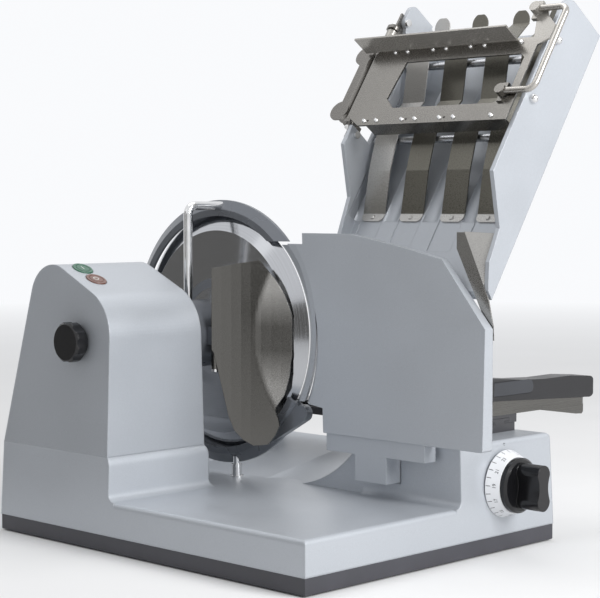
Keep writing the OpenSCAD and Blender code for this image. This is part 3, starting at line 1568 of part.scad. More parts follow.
module chute() color("#b4babf") {
    difference() {
        on_chute() difference() {
            union() {
                translate([0, near_in - over, 0]) cube([chute_l, chute_w + 2 * over, floor_t]);
                translate([0, near_in, 0]) rotate([90, 0, 0]) linear_extrude(wall_t) near_wall_outline();
                translate([0, far_out, 0]) rotate([90, 0, 0]) linear_extrude(wall_t) far_wall_outline();
            }
            for (y = groove_ys) translate([groove_s + groove_r, y, floor_t + groove_r - groove_d]) {
                rod_x(0, chute_l, 2 * groove_r);
            }
            for (y = strip_ys) {
                // Shallow seat for the strip's foot, open down the slope
                translate([strip_s - 44, y - strip_w, floor_t - over])
                    cube([62, strip_w, over * 3]);
                translate([strip_s + 6, y - strip_w / 2, 0]) rod_z(over * 3, floor_t + over, 4.2);
            }
            // Screws of the saddle below
            for (s = bracket_bolt_s, y = bracket_bolt_y)
                translate([s, y, 0]) rod_z(-over, floor_t - 3, 6 + 2 * run);
            // Seats of the support bars
            for (p = support_places) translate([p[0], 0, p[1]]) rod_y(near_in - wall_t / 2, far_in + wall_t / 2,
                support_d + 2 * run);
            // Bolts in the walls
            for (p = near_bolts) translate([p[0], 0, p[1]]) rod_y(near_y - over, near_in + over, bolt_d + 2 * run);
            for (s = ear_bolt_s) translate([s, 0, ear_bolt_n]) rod_y(far_in - over, far_out + over, bolt_d + 2 * run);
        }
        translate([0, near_y - over, 0]) cube([chute_clear_x + end_guard_t + run, chute_w + 4 * wall_t, base_d * 2]);
    }
}

bolt_d = 6;
near_bolts = [[chute_l * 0.84, wall_h - 15], [chute_l * 0.6175, wall_h - 16]];
bracket_bolt_s = [95, 195];
bracket_bolt_y = [bracket_y0 + 18, bracket_y0 + bracket_w - 18];
support_places = [[chute_l * 0.535, strip_crest - strip_t - support_d / 2 - 1.5],
    [chute_l * 0.835, strip_crest - strip_t - support_d / 2 + 1]];

// Path of a stepped strip: along the slope, and above the chute's underside
strip_path = [[strip_s, floor_t - over], [strip_s + 11, floor_t - over],
    [strip_s + 64, strip_crest - 14], [strip_s + 97, strip_crest - 4],
    [strip_s + 113, strip_crest], [strip_s + 179, strip_crest - 19],
    [strip_s + 232, strip_crest + 4], [strip_s + 245, strip_crest + 7],
    [strip_s + 296, strip_crest - 13], [strip_s + 312, strip_crest - 6]];

module strip_sheet(t, lift) {
    n = len(strip_path);
    polygon(concat([for (p = strip_path) p + [0, lift]],
        [for (i = [n - 1 : -1 : 0]) strip_path[i] + [0, lift + t]]));
}

module chute_strips() color("#6d6a5e") {
    on_chute() for (y = strip_ys) difference() {
        intersection() {
            translate([0, y, 0]) rotate([90, 0, 0]) linear_extrude(strip_w) strip_sheet(strip_t, run);
            // Round tip at the top, rounded corners at the foot
            linear_extrude(wall_h * 2) {
                translate([strip_s + 300, y - strip_w / 2]) circle(d = strip_w * 0.7);
                translate([strip_s + 8, y - strip_w]) square([strip_l_flat, strip_w]);
                translate([strip_s, y - strip_w + 8]) square([20, strip_w - 16]);
                for (e = [y - 8, y - strip_w + 8]) translate([strip_s + 8, e]) circle(r = 8);
                translate([strip_s + 250, y - strip_w / 2])
                    polygon([[0, -strip_w / 2], [52, -strip_w * 0.33], [52, strip_w * 0.33], [0, strip_w / 2]]);
            }
        }
        translate([strip_s + 6, y - strip_w / 2, 0]) rod_z(0, floor_t * 2, 4.2 + 2 * run);
    }
}

strip_l_flat = 243;

module strip_screws() color("silver") {
    on_chute() for (y = strip_ys) translate([strip_s + 6, y - strip_w / 2, 0]) {
        rod_z(over * 3 + run, floor_t + over, 4);
        translate([0, 0, floor_t - over + strip_t + 2 * run]) cylinder(d1 = 7, d2 = 5, h = 1.6);
    }
}

module support_bars() color("silver") {
    on_chute() {
        for (p = support_places) translate([p[0], 0, p[1]])
            rod_y(near_in - wall_t / 2 + run, far_in + wall_t / 2 - run, support_d);
        // Posts that carry the lower bar in the gaps between the strips
        for (i = [1 : 3]) translate([support_places[0][0], groove_ys[i], 0])
            rod_z(floor_t - groove_d + groove_r - sqrt(pow(groove_r, 2) - pow(support_d / 2 - 1, 2)) + run,
                support_places[0][1], support_d - 2);
    }
}

module chute_bolts() color("silver") {
    on_chute() {
        for (p = near_bolts) translate([p[0], 0, p[1]]) {
            rod_y(near_y - 1, near_in, bolt_d);
            translate([0, near_y - run, 0]) rotate([90, 0, 0]) rotate_extrude() polygon(concat(
                [[0, 0], [bolt_head_d / 2, 0]], arc([0, 2], bolt_head_d / 2, 0, 90), [[0, 2]]));
            rod_y(near_in + run, near_in + 4, bolt_d * 1.7);
        }
        for (s = bracket_bolt_s, y = bracket_bolt_y) translate([s, y, 0]) {
            rod_z(-10 - over, floor_t - 3 - run, 6);
            rod_z(-14, -10 - 2 * run, 10);
        }
        for (s = ear_bolt_s) translate([s, 0, ear_bolt_n]) {
            rod_y(far_in, far_out + ear_plate_t + run, bolt_d);
            rod_y(far_out + ear_plate_t + 2 * run, far_out + ear_plate_t + 4, bolt_d * 1.7);
            rod_y(far_in - 4, far_in - run, bolt_d * 1.7);
        }
    }
}

// Bent guard at the foot of the near wall, beside the gauge plate
module end_guard() color("#a19d95") {
    x0 = chute_clear_x;
    t = end_guard_t;
    crease_top = [near_in + 30, gauge_top + 4];
    crease_low = [near_in - 7.7, chute_z];
    low = [gauge_front + run, gauge_corner - 14];
    along_x(x0, x0 + t) polygon([crease_top, crease_low,
        [gauge_front + 1, gauge_corner + 4], low, [low[0] + 5, low[1]],
        [crease_low[0] + 11, chute_z - 14], [crease_top[0] + 12, gauge_top - 16],
        [crease_top[0] + 12, gauge_top + 4]]);
    // The part folded back towards the near wall
    difference() {
        hull() {
            for (p = [crease_top, crease_low]) translate([x0, p[0], p[1]]) cube([t, t / 2, t / 2]);
            translate([x0 + 24, near_in + 2, gauge_top + 2]) cube([t, t / 2, t / 2]);
        }
        on_chute() {
            translate([-chute_l / 2, near_y - base_w, -floor_t])
                cube([chute_l, base_w + wall_t + run, wall_h]);
            translate([-chute_l / 2, near_y, -floor_t]) cube([chute_l, chute_w, 2 * floor_t + run]);
        }
    }
}

// Remnant holder

holder_y0 = near_in + 2;
holder_y1 = hinge_y - sleeve_d / 2;
holder_s1 = holder_s + holder_l;
sleeve_s0 = holder_s + 16;
sleeve_s1 = holder_s1 + 40;
window_s = [holder_s + 26, holder_s1 - 25];
window_y = [near_in + 14, hinge_y - 60];
spike_pitch = 21.4;
spike_y_shares = [0.096, 0.319, 0.404, 0.557, 0.64, 0.805, 0.885];
spike_ys = [for (s = spike_y_shares) holder_y0 + s * (holder_y1 - holder_y0)];
spike_rows = [holder_s + 7, holder_s1 - 7];
spike_d = 5;
bail_boss = [[window_s[0] + 14, window_y[0] + 8], [holder_s1 + 41, window_y[0] + 8]];
bail_n = holder_n + holder_t + 5;

// Flat outline of the holder's sheet
module holder_flat() {
    w0 = window_s;
    y0 = window_y;
    r = 8;
    difference() {
        polygon([[holder_s, holder_y0], [holder_s1 - 13, holder_y0], [holder_s1 - 4, holder_y0 - 15],
            [holder_s1 + 17, holder_y0 - 16], [holder_s1 + 34, holder_y0 + 2],
            [holder_s1 + 50, holder_y0 + 8], [holder_s1 + 50, holder_y0 + 30],
            [holder_s1 + 30, holder_y0 + 18], [holder_s1, holder_y0 + 10], [holder_s1, holder_y1],
            [holder_s + 14, holder_y1], [holder_s, holder_y1 - 22]]);
        polygon([[w0[0], y0[0] + 20], [w0[0] + 8, y0[0]], [w0[1] - 6, y0[0]], [w0[1], y0[0] + 8],
            [w0[1], y0[1] - 6], [w0[0] + 16, y0[1]], [w0[0], y0[1] - 18]]);
    }
}

module holder_frame() color("#8f8b84") {
    on_chute() difference() {
        union() {
            translate([0, 0, holder_n]) linear_extrude(holder_t) holder_flat();
            // Lower flange towards the floor, upper flange away from it
            translate([holder_s, near_in + 4, holder_n - flange_low])
                cube([holder_t, holder_y1 - near_in - 40, flange_low + holder_t]);
            translate([holder_s1 - holder_t, holder_y0 + 36, holder_n])
                cube([holder_t, holder_y1 - holder_y0 - 10, flange_high]);
            // Sleeve round the hinge rod, and the sheet that wraps it
            translate([0, hinge_y, hinge_n]) rod_x(sleeve_s0, sleeve_s1, sleeve_d);
            translate([sleeve_s0, holder_y1 - 6, 0]) rotate([90, 0, 90])
                linear_extrude(holder_s1 - sleeve_s0) polygon([[0, holder_n], [0, holder_n + holder_t],
                    [7, holder_n + holder_t], [13, hinge_n + 5], [11, hinge_n + 3]]);
            // Bosses of the bent handle on their gussets
            for (b = bail_boss) {
                translate([b[0] - 14, b[1] - 4, holder_n]) cube([28, 8, holder_t + 3]);
                translate([b[0], b[1], 0]) rod_z(holder_n, bail_n + bail_d / 2 + 2, bail_d + 6);
            }
        }
        for (b = bail_boss) translate([b[0], 0, bail_n])
            rod_y(bail_y, b[1] + bail_d / 2, bail_d + 2 * run);
        translate([0, hinge_y, hinge_n]) rod_x(sleeve_s0 - over, sleeve_s1 + over, hinge_rod_d + 2 * run);
        for (s = spike_rows, y = spike_ys) translate([s, y, 0])
            rod_z(holder_n - over, holder_n + holder_t + over, spike_d - 1);
        for (s = spike_rows, i = [0, 2, 4]) translate([s, spike_ys[i + 1] + 15, 0])
            rod_z(holder_n - over, holder_n + holder_t + over, 3);
    }
}

module holder_spikes() color("silver") {
    top = holder_n + holder_t;
    on_chute() for (s = spike_rows, y = spike_ys) translate([s, y, 0]) {
        translate([0, 0, holder_n - run]) mirror([0, 0, 1])
            cylinder(d1 = spike_d, d2 = 0.8, h = spike_l);
        rod_z(holder_n - over, top + over, spike_d - 1 - 2 * run);
        translate([0, 0, top + run]) cylinder(d1 = spike_d + 1, d2 = spike_d - 1, h = 2.5);
    }
}

ear_t = 5;
ear_gap = 1;
ear_s = [sleeve_s0 - ear_gap - ear_t, sleeve_s1 + ear_gap];
ear_bolt_n = wall_h - 12;
ear_bolt_s = [ear_s[0] - 12, ear_s[1] + ear_t + 12];
ear_plate_t = 3;

// Two ears bolted to the far wall, which hold the hinge rod
module rod_brackets() color("#77736b") {
    on_chute() for (i = [0, 1]) difference() {
        side = i == 0 ? -1 : 1;
        plate_s = i == 0 ? ear_s[0] - 22 : ear_s[1];
        union() {
            translate([plate_s, far_out + run, ear_bolt_n - 10]) cube([22 + ear_t, ear_plate_t, 20]);
            translate([ear_s[i], far_out + run, hinge_n - 9]) cube([ear_t, hinge_off, 18]);
            translate([0, hinge_y, hinge_n]) rod_x(ear_s[i], ear_s[i] + ear_t, 18);
        }
        translate([0, hinge_y, hinge_n]) rod_x(ear_s[i] - over, ear_s[i] + ear_t + over, hinge_rod_d + 2 * run);
        translate([ear_bolt_s[i], 0, ear_bolt_n]) rod_y(far_in, far_out + hinge_off, bolt_d + 2 * run);
        // Clearance for the sleeve, which turns beside the ear
        translate([0, hinge_y, hinge_n]) rod_x(ear_s[0] + ear_t, ear_s[1], sleeve_d + 2 * over);
    }
}

module hinge_rod() color("silver") {
    on_chute() translate([0, hinge_y, hinge_n]) {
        rod_x(ear_s[0] - 3, ear_s[1] + ear_t + 3, hinge_rod_d);
        for (s = [ear_s[0] - 5, ear_s[1] + ear_t + run]) rod_x(s, s + 5 - run, hinge_rod_d + 1.5);
    }
}

// Sheet behind the hinge with two round ears and a rolled edge
module hinge_leaf() color("#97938b") {
    roll_y = hinge_y + 14;
    s0 = sleeve_s0;
    s1 = holder_s1 + 12;
    on_chute() {
        translate([0, roll_y, hinge_n + 1]) rod_x(s0, s1 - 6, 10);
        // Web between the sleeve and the rolled edge
        for (s = [s0, s1 - 14]) translate([s, hinge_y + sleeve_d / 2 + run, hinge_n - 1])
            cube([8, 6, 4]);
        translate([0, 0, hinge_n + 4]) linear_extrude(2) {
            translate([s0, roll_y]) square([s1 - s0, 12]);
            for (s = [s0 + 15, s1 - 15]) translate([s, roll_y + 10]) circle(r = 15);
        }
    }
}

// Bent round handle at the near side
module bail_handle() color("silver") {
    r = 11;
    s0 = bail_boss[0][0];
    s1 = bail_boss[1][0];
    on_chute() translate([0, 0, bail_n]) {
        for (i = [0, 1]) translate([bail_boss[i][0], 0, 0])
            rod_y(bail_y + r, bail_boss[i][1] + bail_d / 2 - run, bail_d);
        translate([0, bail_y, 0]) rod_x(s0 + r, s1 - r, bail_d);
        translate([s0 + r, bail_y + r, 0]) rotate([0, 0, 180]) rotate_extrude(angle = 90)
            translate([r, 0]) circle(d = bail_d);
        translate([s1 - r, bail_y + r, 0]) rotate([0, 0, 270]) rotate_extrude(angle = 90)
            translate([r, 0]) circle(d = bail_d);
    }
}

placed() base_casting();
placed() base_rim();
placed() bottom_cover();
placed() cover_screws();
placed() feet();
placed() tower_housing();
placed() start_button();
placed() stop_button();
placed() switch_block();
placed() power_inlet();
placed() motor();
placed() motor_shaft();
placed() motor_pulley();
placed() motor_bracket();
placed() drive_belt();
placed() blade_pulley();
placed() hub_housing();
placed() bearings();
placed() blade_shaft();
placed() blade();
placed() blade_screws();
placed() blade_cover();
placed() draw_rod();
placed() release_knob();
placed() ring_guard();
placed() ring_stay();
placed() ring_post();
placed() slice_deflector();
placed() deflector_bracket();
placed() deflector_pin();
placed() gauge_plate();
placed() gauge_support();
placed() gauge_screws();
placed() gauge_slide();
placed() guide_rods();
placed() cam_follower();
placed() scroll_cam();
placed() dial_spindle();
placed() dial_scale();
placed() thickness_knob();
placed() guide_rail();
placed() carriage_shoe();
placed() glide_pads();
placed() handle_plate();
placed() handle_grip();
placed() grip_inset();
placed() stop_tab();
placed() chute_bracket();
placed() chute();
placed() chute_strips();
placed() strip_screws();
placed() support_bars();
placed() chute_bolts();
placed() end_guard();
placed() holder_frame();
placed() holder_spikes();
placed() rod_brackets();
placed() hinge_rod();
placed() hinge_leaf();
placed() bail_handle();
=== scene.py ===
import math

import bmesh
import bpy
from mathutils import Matrix, Vector


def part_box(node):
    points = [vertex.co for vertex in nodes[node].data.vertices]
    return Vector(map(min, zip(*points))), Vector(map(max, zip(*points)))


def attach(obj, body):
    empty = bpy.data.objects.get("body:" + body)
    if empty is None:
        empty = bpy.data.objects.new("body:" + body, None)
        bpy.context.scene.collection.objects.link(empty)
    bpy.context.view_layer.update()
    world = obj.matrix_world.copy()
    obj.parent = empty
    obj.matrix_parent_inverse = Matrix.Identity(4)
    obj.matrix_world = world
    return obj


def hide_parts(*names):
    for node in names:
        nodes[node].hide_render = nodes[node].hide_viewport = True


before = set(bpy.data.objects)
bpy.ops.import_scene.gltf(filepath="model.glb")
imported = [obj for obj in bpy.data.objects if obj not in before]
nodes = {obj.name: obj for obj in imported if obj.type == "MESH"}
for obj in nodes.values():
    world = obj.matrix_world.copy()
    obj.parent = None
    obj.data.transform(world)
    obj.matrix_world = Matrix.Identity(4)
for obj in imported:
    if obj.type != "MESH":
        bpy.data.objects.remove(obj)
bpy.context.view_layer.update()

scene = bpy.context.scene

# Lengths are metres in the shared frame, and millimetres of the drawing where a name ends in _MM.

# Camera at the photograph's viewing angle

LENS_MM = 101.634
SENSOR_MM = 36.0
CLIP_START, CLIP_END = 0.05, 100.0
CAMERA_AT = (-1.645944, -1.567775, 0.4387)
CAMERA_TILT = math.radians(86.83)
CAMERA_TURN = math.radians(-45.47)

cam = bpy.data.cameras.new("photo_camera")
cam.lens = LENS_MM
cam.sensor_width = SENSOR_MM
cam.sensor_fit = "HORIZONTAL"
cam.clip_start = CLIP_START
cam.clip_end = CLIP_END
camera = bpy.data.objects.new("photo_camera", cam)
camera.location = CAMERA_AT
camera.rotation_euler = (CAMERA_TILT, 0.0, CAMERA_TURN)
scene.collection.objects.link(camera)
scene.camera = camera
scene.view_settings.view_transform = "Standard"

# Places that materials and added forms share

# A point on the blade's axis, which runs along X
AXIS = (0.0, 0.154625, 0.264)

# The chute's slope, and distances along it: the start of the chute's own frame, the end of the
# strips' flat feet, and the start of the holder's bent-up flange, where painted highlights end and
# begin
SLOPE = math.radians(56.3)
CHUTE_START = 0.251761
FOOT_END = 0.116 + CHUTE_START
FLANGE_START = 0.3240 + CHUTE_START

# The deflector's curved crease goes round a centre. The middle of the part that carries a painted
# highlight lies a share of the sheet's height under the top, and the part reaches another share up
# and down from there; the highlight is painted above and below that middle
CREASE_AT = (0.0, -0.1529, 0.2675)
CREASE_R = 0.2046
CREASE_SOFT = 0.006
DISH_DOWN = 0.42
DISH_REACH = 0.26
sheet_lo, sheet_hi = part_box("slice_deflector")
dish_middle = sheet_hi.z - DISH_DOWN * (sheet_hi.z - sheet_lo.z)
dish_reach = DISH_REACH * (sheet_hi.z - sheet_lo.z)

# The farthest strip in the chute starts between these two places across; its upper part gets a
# painted highlight
FAR_STRIP = (-0.101, -0.096)

# Materials


def shade(colour, factor):
    return tuple(min(1.0, c * factor) for c in colour)


class Graph:
    """Short names for building one node material."""

    def __init__(self, name):
        self.mat = bpy.data.materials.new(name)
        self.mat.use_nodes = True
        self.tree = self.mat.node_tree
        self.bsdf = self.tree.nodes["Principled BSDF"]
        self.coords = None

    def node(self, kind, **settings):
        n = self.tree.nodes.new(kind)
        for key, value in settings.items():
            setattr(n, key, value)
        return n

    def link(self, a, b):
        self.tree.links.new(a, b)

    def set(self, **values):
        """Constants on the shader's own sockets."""
        for key, value in values.items():
            self.bsdf.inputs[key.replace("_", " ")].default_value = value

    def feed(self, **outputs):
        """Links into the shader's sockets."""
        for key, output in outputs.items():
            self.link(output, self.bsdf.inputs[key.replace("_", " ")])

    def maths(self, operation, a, b=None):
        """One step of arithmetic on a value, on two, or on a value and a constant."""
        n = self.node("ShaderNodeMath", operation=operation)
        self.link(a, n.inputs[0])
        if isinstance(b, float):
            n.inputs[1].default_value = b
        elif b is not None:
            self.link(b, n.inputs[1])
        return n.outputs[0]

    def place(self, scale=(1, 1, 1), turn=(0, 0, 0), shift=(0, 0, 0)):
        if self.coords is None:
            self.coords = self.node("ShaderNodeTexCoord")
        m = self.node("ShaderNodeMapping")
        m.inputs["Scale"].default_value = scale
        m.inputs["Rotation"].default_value = turn
        m.inputs["Location"].default_value = shift
        self.link(self.coords.outputs["Object"], m.inputs["Vector"])
        return m.outputs["Vector"]

    def coordinate(self, letter, middle=0.0):
        """X, Y or Z, counted from a middle."""
        split = self.node("ShaderNodeSeparateXYZ")
        shift = [-middle if letter == k else 0.0 for k in "XYZ"]
        self.link(self.place(shift=shift), split.inputs[0])
        return split.outputs[letter]

    def from_axis(self, centre):
        """Distance from the line that runs along X through a point."""
        flat = self.node("ShaderNodeVectorMath", operation="MULTIPLY")
        flat.inputs[1].default_value = (0.0, 1.0, 1.0)
        self.link(self.place(shift=[-c for c in centre]), flat.inputs[0])
        length = self.node("ShaderNodeVectorMath", operation="LENGTH")
        self.link(flat.outputs["Vector"], length.inputs[0])
        return length.outputs["Value"]

    def along_slope(self):
        """Distance along the chute's slope."""
        along = self.node("ShaderNodeVectorMath", operation="DOT_PRODUCT")
        along.inputs[1].default_value = (math.cos(SLOPE), 0.0, math.sin(SLOPE))
        self.link(self.place(), along.inputs[0])
        return along.outputs["Value"]

    def noise(self, scale, detail=2.0, rough=0.5, vector=None):
        n = self.node("ShaderNodeTexNoise")
        n.inputs["Scale"].default_value = scale
        n.inputs["Detail"].default_value = detail
        n.inputs["Roughness"].default_value = rough
        self.link(vector if vector is not None else self.place(), n.inputs["Vector"])
        return n.outputs["Fac"]

    def spread(self, value, low, high, start=0.3, end=0.7):
        """A value carried from start and end to low and high, and held there outside."""
        m = self.node("ShaderNodeMapRange")
        m.inputs["From Min"].default_value = start
        m.inputs["From Max"].default_value = end
        m.inputs["To Min"].default_value = low
        m.inputs["To Max"].default_value = high
        self.link(value, m.inputs["Value"])
        return m.outputs["Result"]

    def ramp(self, value, stops):
        r = self.node("ShaderNodeValToRGB")
        for e, (pos, col) in zip(r.color_ramp.elements, stops):
            e.position = pos
            e.color = (*col, 1.0)
        self.link(value, r.inputs["Fac"])
        return r.outputs["Color"]

    def tones(self, value, colour, low, high, start=0.3, end=0.7):
        """The base colour runs between two shades of one colour."""
        stops = [(start, shade(colour, low)), (end, shade(colour, high))]
        self.feed(Base_Color=self.ramp(value, stops))

    def tint(self, share, colour):
        """Mixes the base colour so far towards another colour."""
        base = self.bsdf.inputs["Base Color"]
        mix = self.node("ShaderNodeMix", data_type="RGBA")
        self.link(share, mix.inputs["Factor"])
        self.link(base.links[0].from_socket, mix.inputs["A"])
        mix.inputs["B"].default_value = (*colour, 1.0)
        self.link(mix.outputs["Result"], base)

    def bump(self, height, distance, strength, normal):
        b = self.node("ShaderNodeBump")
        b.inputs["Strength"].default_value = strength
        b.inputs["Distance"].default_value = distance
        self.link(height, b.inputs["Height"])
        self.link(normal, b.inputs["Normal"])
        return b.outputs["Normal"]

    def round_edges(self, radius):
        b = self.node("ShaderNodeBevel", samples=4)
        b.inputs["Radius"].default_value = radius
        return b.outputs["Normal"]


STEEL_EDGE = 0.0004
TURNED_EDGE = 0.0003


def paint(name, colour, rough, metallic, edge):
    """Silver lacquer on a casting: fine metallic grain, faint orange peel, soft edges."""
    g = Graph(name)
    g.tones(g.noise(scale=1500.0), colour, 0.93, 1.07, start=0.32, end=0.68)
    g.feed(Roughness=g.spread(g.noise(scale=14.0, detail=3.0), rough - 0.04, rough + 0.05))
    peel = g.noise(scale=700.0, detail=1.0)
    g.feed(Normal=g.bump(peel, distance=0.00004, strength=0.6, normal=g.round_edges(edge)))
    g.set(Metallic=metallic, Coat_Weight=0.15, Coat_Roughness=0.35)
    return g.mat


def brushed_graph(name, colour, rough, turn, spread=0.08, fine=1400.0, tone=0.12, metallic=1.0):
    """Steel with fine lines along one direction, and slow changes of gloss over the sheet."""
    g = Graph(name)
    lines = g.noise(scale=1.0, detail=3.0, rough=0.6, vector=g.place((9.0, fine, fine), turn))
    g.tones(lines, colour, 1 - tone, 1 + tone)
    slow = g.spread(g.noise(scale=9.0), -0.05, 0.05)
    g.feed(Roughness=g.maths("ADD", g.spread(lines, rough - spread, rough + spread), slow))
    edges = g.round_edges(STEEL_EDGE)
    g.feed(Normal=g.bump(lines, distance=0.00002, strength=0.5, normal=edges))
    g.set(Metallic=metallic)
    return g


def brushed(*args, **settings):
    """The same steel, finished as a material."""
    return brushed_graph(*args, **settings).mat


def deflector_steel(name, colour, painted_highlight):
    """Brushed sheet with a painted highlight: lighter above and below the middle of the part
    inside the crease.
    """
    g = brushed_graph(name, colour, rough=0.24, turn=(0, math.pi / 2, 0))
    inside = g.spread(g.from_axis(CREASE_AT), 1.0, 0.0, CREASE_R - CREASE_SOFT, CREASE_R)
    away = g.maths("ABSOLUTE", g.coordinate("Z", dish_middle))
    ends = g.spread(away, 0.0, 1.0, dish_reach * 0.25, dish_reach)
    # Painted highlight: inside the crease, above and below the dish's middle, the colour is mixed
    # towards a lighter one
    painted_light_mask = g.maths("MULTIPLY", ends, inside)
    g.tint(painted_light_mask, painted_highlight)
    g.feed(Metallic=g.spread(painted_light_mask, 1.0, 0.6, 0.0, 1.0))
    return g.mat


def strip_steel(name, dark, light):
    """Brushed strips with painted highlights: the farthest one, lighter up the slope, and the flat
    feet are painted lighter than the rest.
    """
    g = brushed_graph(name, dark, rough=0.30, turn=(0, SLOPE, 0), spread=0.1, fine=1600.0,
                      tone=0.25)
    far = g.spread(g.coordinate("Y"), 0.0, 1.0, *FAR_STRIP)
    along = g.along_slope()
    foot = g.spread(along, 1.0, 0.0, FOOT_END - 0.001, FOOT_END)
    rising = g.spread(along, 0.35, 1.0, FOOT_END + 0.005, FOOT_END + 0.075)
    # Painted highlight on the flat feet and on the farthest strip's upper part
    painted_light_mask = g.maths("MAXIMUM", g.maths("MULTIPLY", far, rising), foot)
    g.tint(painted_light_mask, light)
    g.feed(Metallic=g.spread(painted_light_mask, 0.9, 0.45, 0.0, 1.0))
    return g.mat


def holder_steel(name, colour, light):
    """Brushed sheet whose bent-up flange, past a place on the slope, is painted lighter: a painted
    highlight.
    """
    g = brushed_graph(name, colour, rough=0.25, turn=(0, SLOPE, 0))
    # Painted highlight on the flange
    painted_light_mask = g.spread(g.along_slope(), 0.0, 1.0, FLANGE_START - 0.002, FLANGE_START)
    g.tint(painted_light_mask, light)
    g.feed(Metallic=g.spread(painted_light_mask, 1.0, 0.5, 0.0, 1.0))
    return g.mat


def polished(name, colour, rough):
    """Bright round steel and screws, with faint wiping marks."""
    g = Graph(name)
    g.tones(g.noise(scale=60.0, detail=3.0), colour, 0.94, 1.04, start=0.35, end=0.65)
    g.feed(Roughness=g.spread(g.noise(scale=260.0, detail=3.0), rough - 0.04, rough + 0.06),
           Normal=g.round_edges(STEEL_EDGE))
    g.set(Metallic=1.0)
    return g.mat


def turned(name, colour, rough, low=None):
    """Steel ground in circles round the blade's axis; if a low colour is given, the part below the
    axis is mixed towards it as a painted dark reflection.
    """
    g = Graph(name)
    circles = g.node("ShaderNodeTexNoise", noise_dimensions="1D")
    circles.inputs["Scale"].default_value = 900.0
    circles.inputs["Detail"].default_value = 3.0
    g.link(g.from_axis(AXIS), circles.inputs["W"])
    lines = circles.outputs["Fac"]
    g.tones(lines, colour, 0.94, 1.05)
    # Painted dark reflection: under the axis the colour runs towards the low colour
    if low:
        g.tint(g.spread(g.coordinate("Z", AXIS[2]), 1.0, 0.0, start=-0.06, end=0.0), low)
    edges = g.round_edges(TURNED_EDGE)
    tangent = g.node("ShaderNodeTangent", direction_type="RADIAL", axis="X")
    g.feed(Roughness=g.spread(lines, rough - 0.04, rough + 0.05),
           Normal=g.bump(lines, distance=0.00001, strength=0.5, normal=edges),
           Tangent=tangent.outputs["Tangent"])
    g.set(Metallic=1.0, Anisotropic=0.75)
    return g.mat


def moulded(name, colour, rough, grain, cells=900.0, coat=0.0, edge=0.0008, vary=0.12):
    """Moulded plastic or rubber with a fine skin texture."""
    g = Graph(name)
    slow = g.noise(scale=22.0, detail=3.0)
    g.tones(slow, colour, 1 - vary, 1 + vary)
    skin = g.noise(scale=cells)
    g.feed(Roughness=g.spread(slow, rough - 0.04, rough + 0.06),
           Normal=g.bump(skin, distance=grain, strength=0.7, normal=g.round_edges(edge)))
    g.set(Coat_Weight=coat, Coat_Roughness=0.12)
    return g.mat


GREY = (0.455, 0.48, 0.515)
RING_GREY = (0.17, 0.181, 0.20)
STRIP_PAINTED_HIGHLIGHT = (0.52, 0.51, 0.49)
PRINT_EDGE = 0.00005
ALONG_SLOPE = (0, SLOPE, 0)
ALONG_Y = (0, 0, math.pi / 2)
ALONG_Z = (0, math.pi / 2, 0)

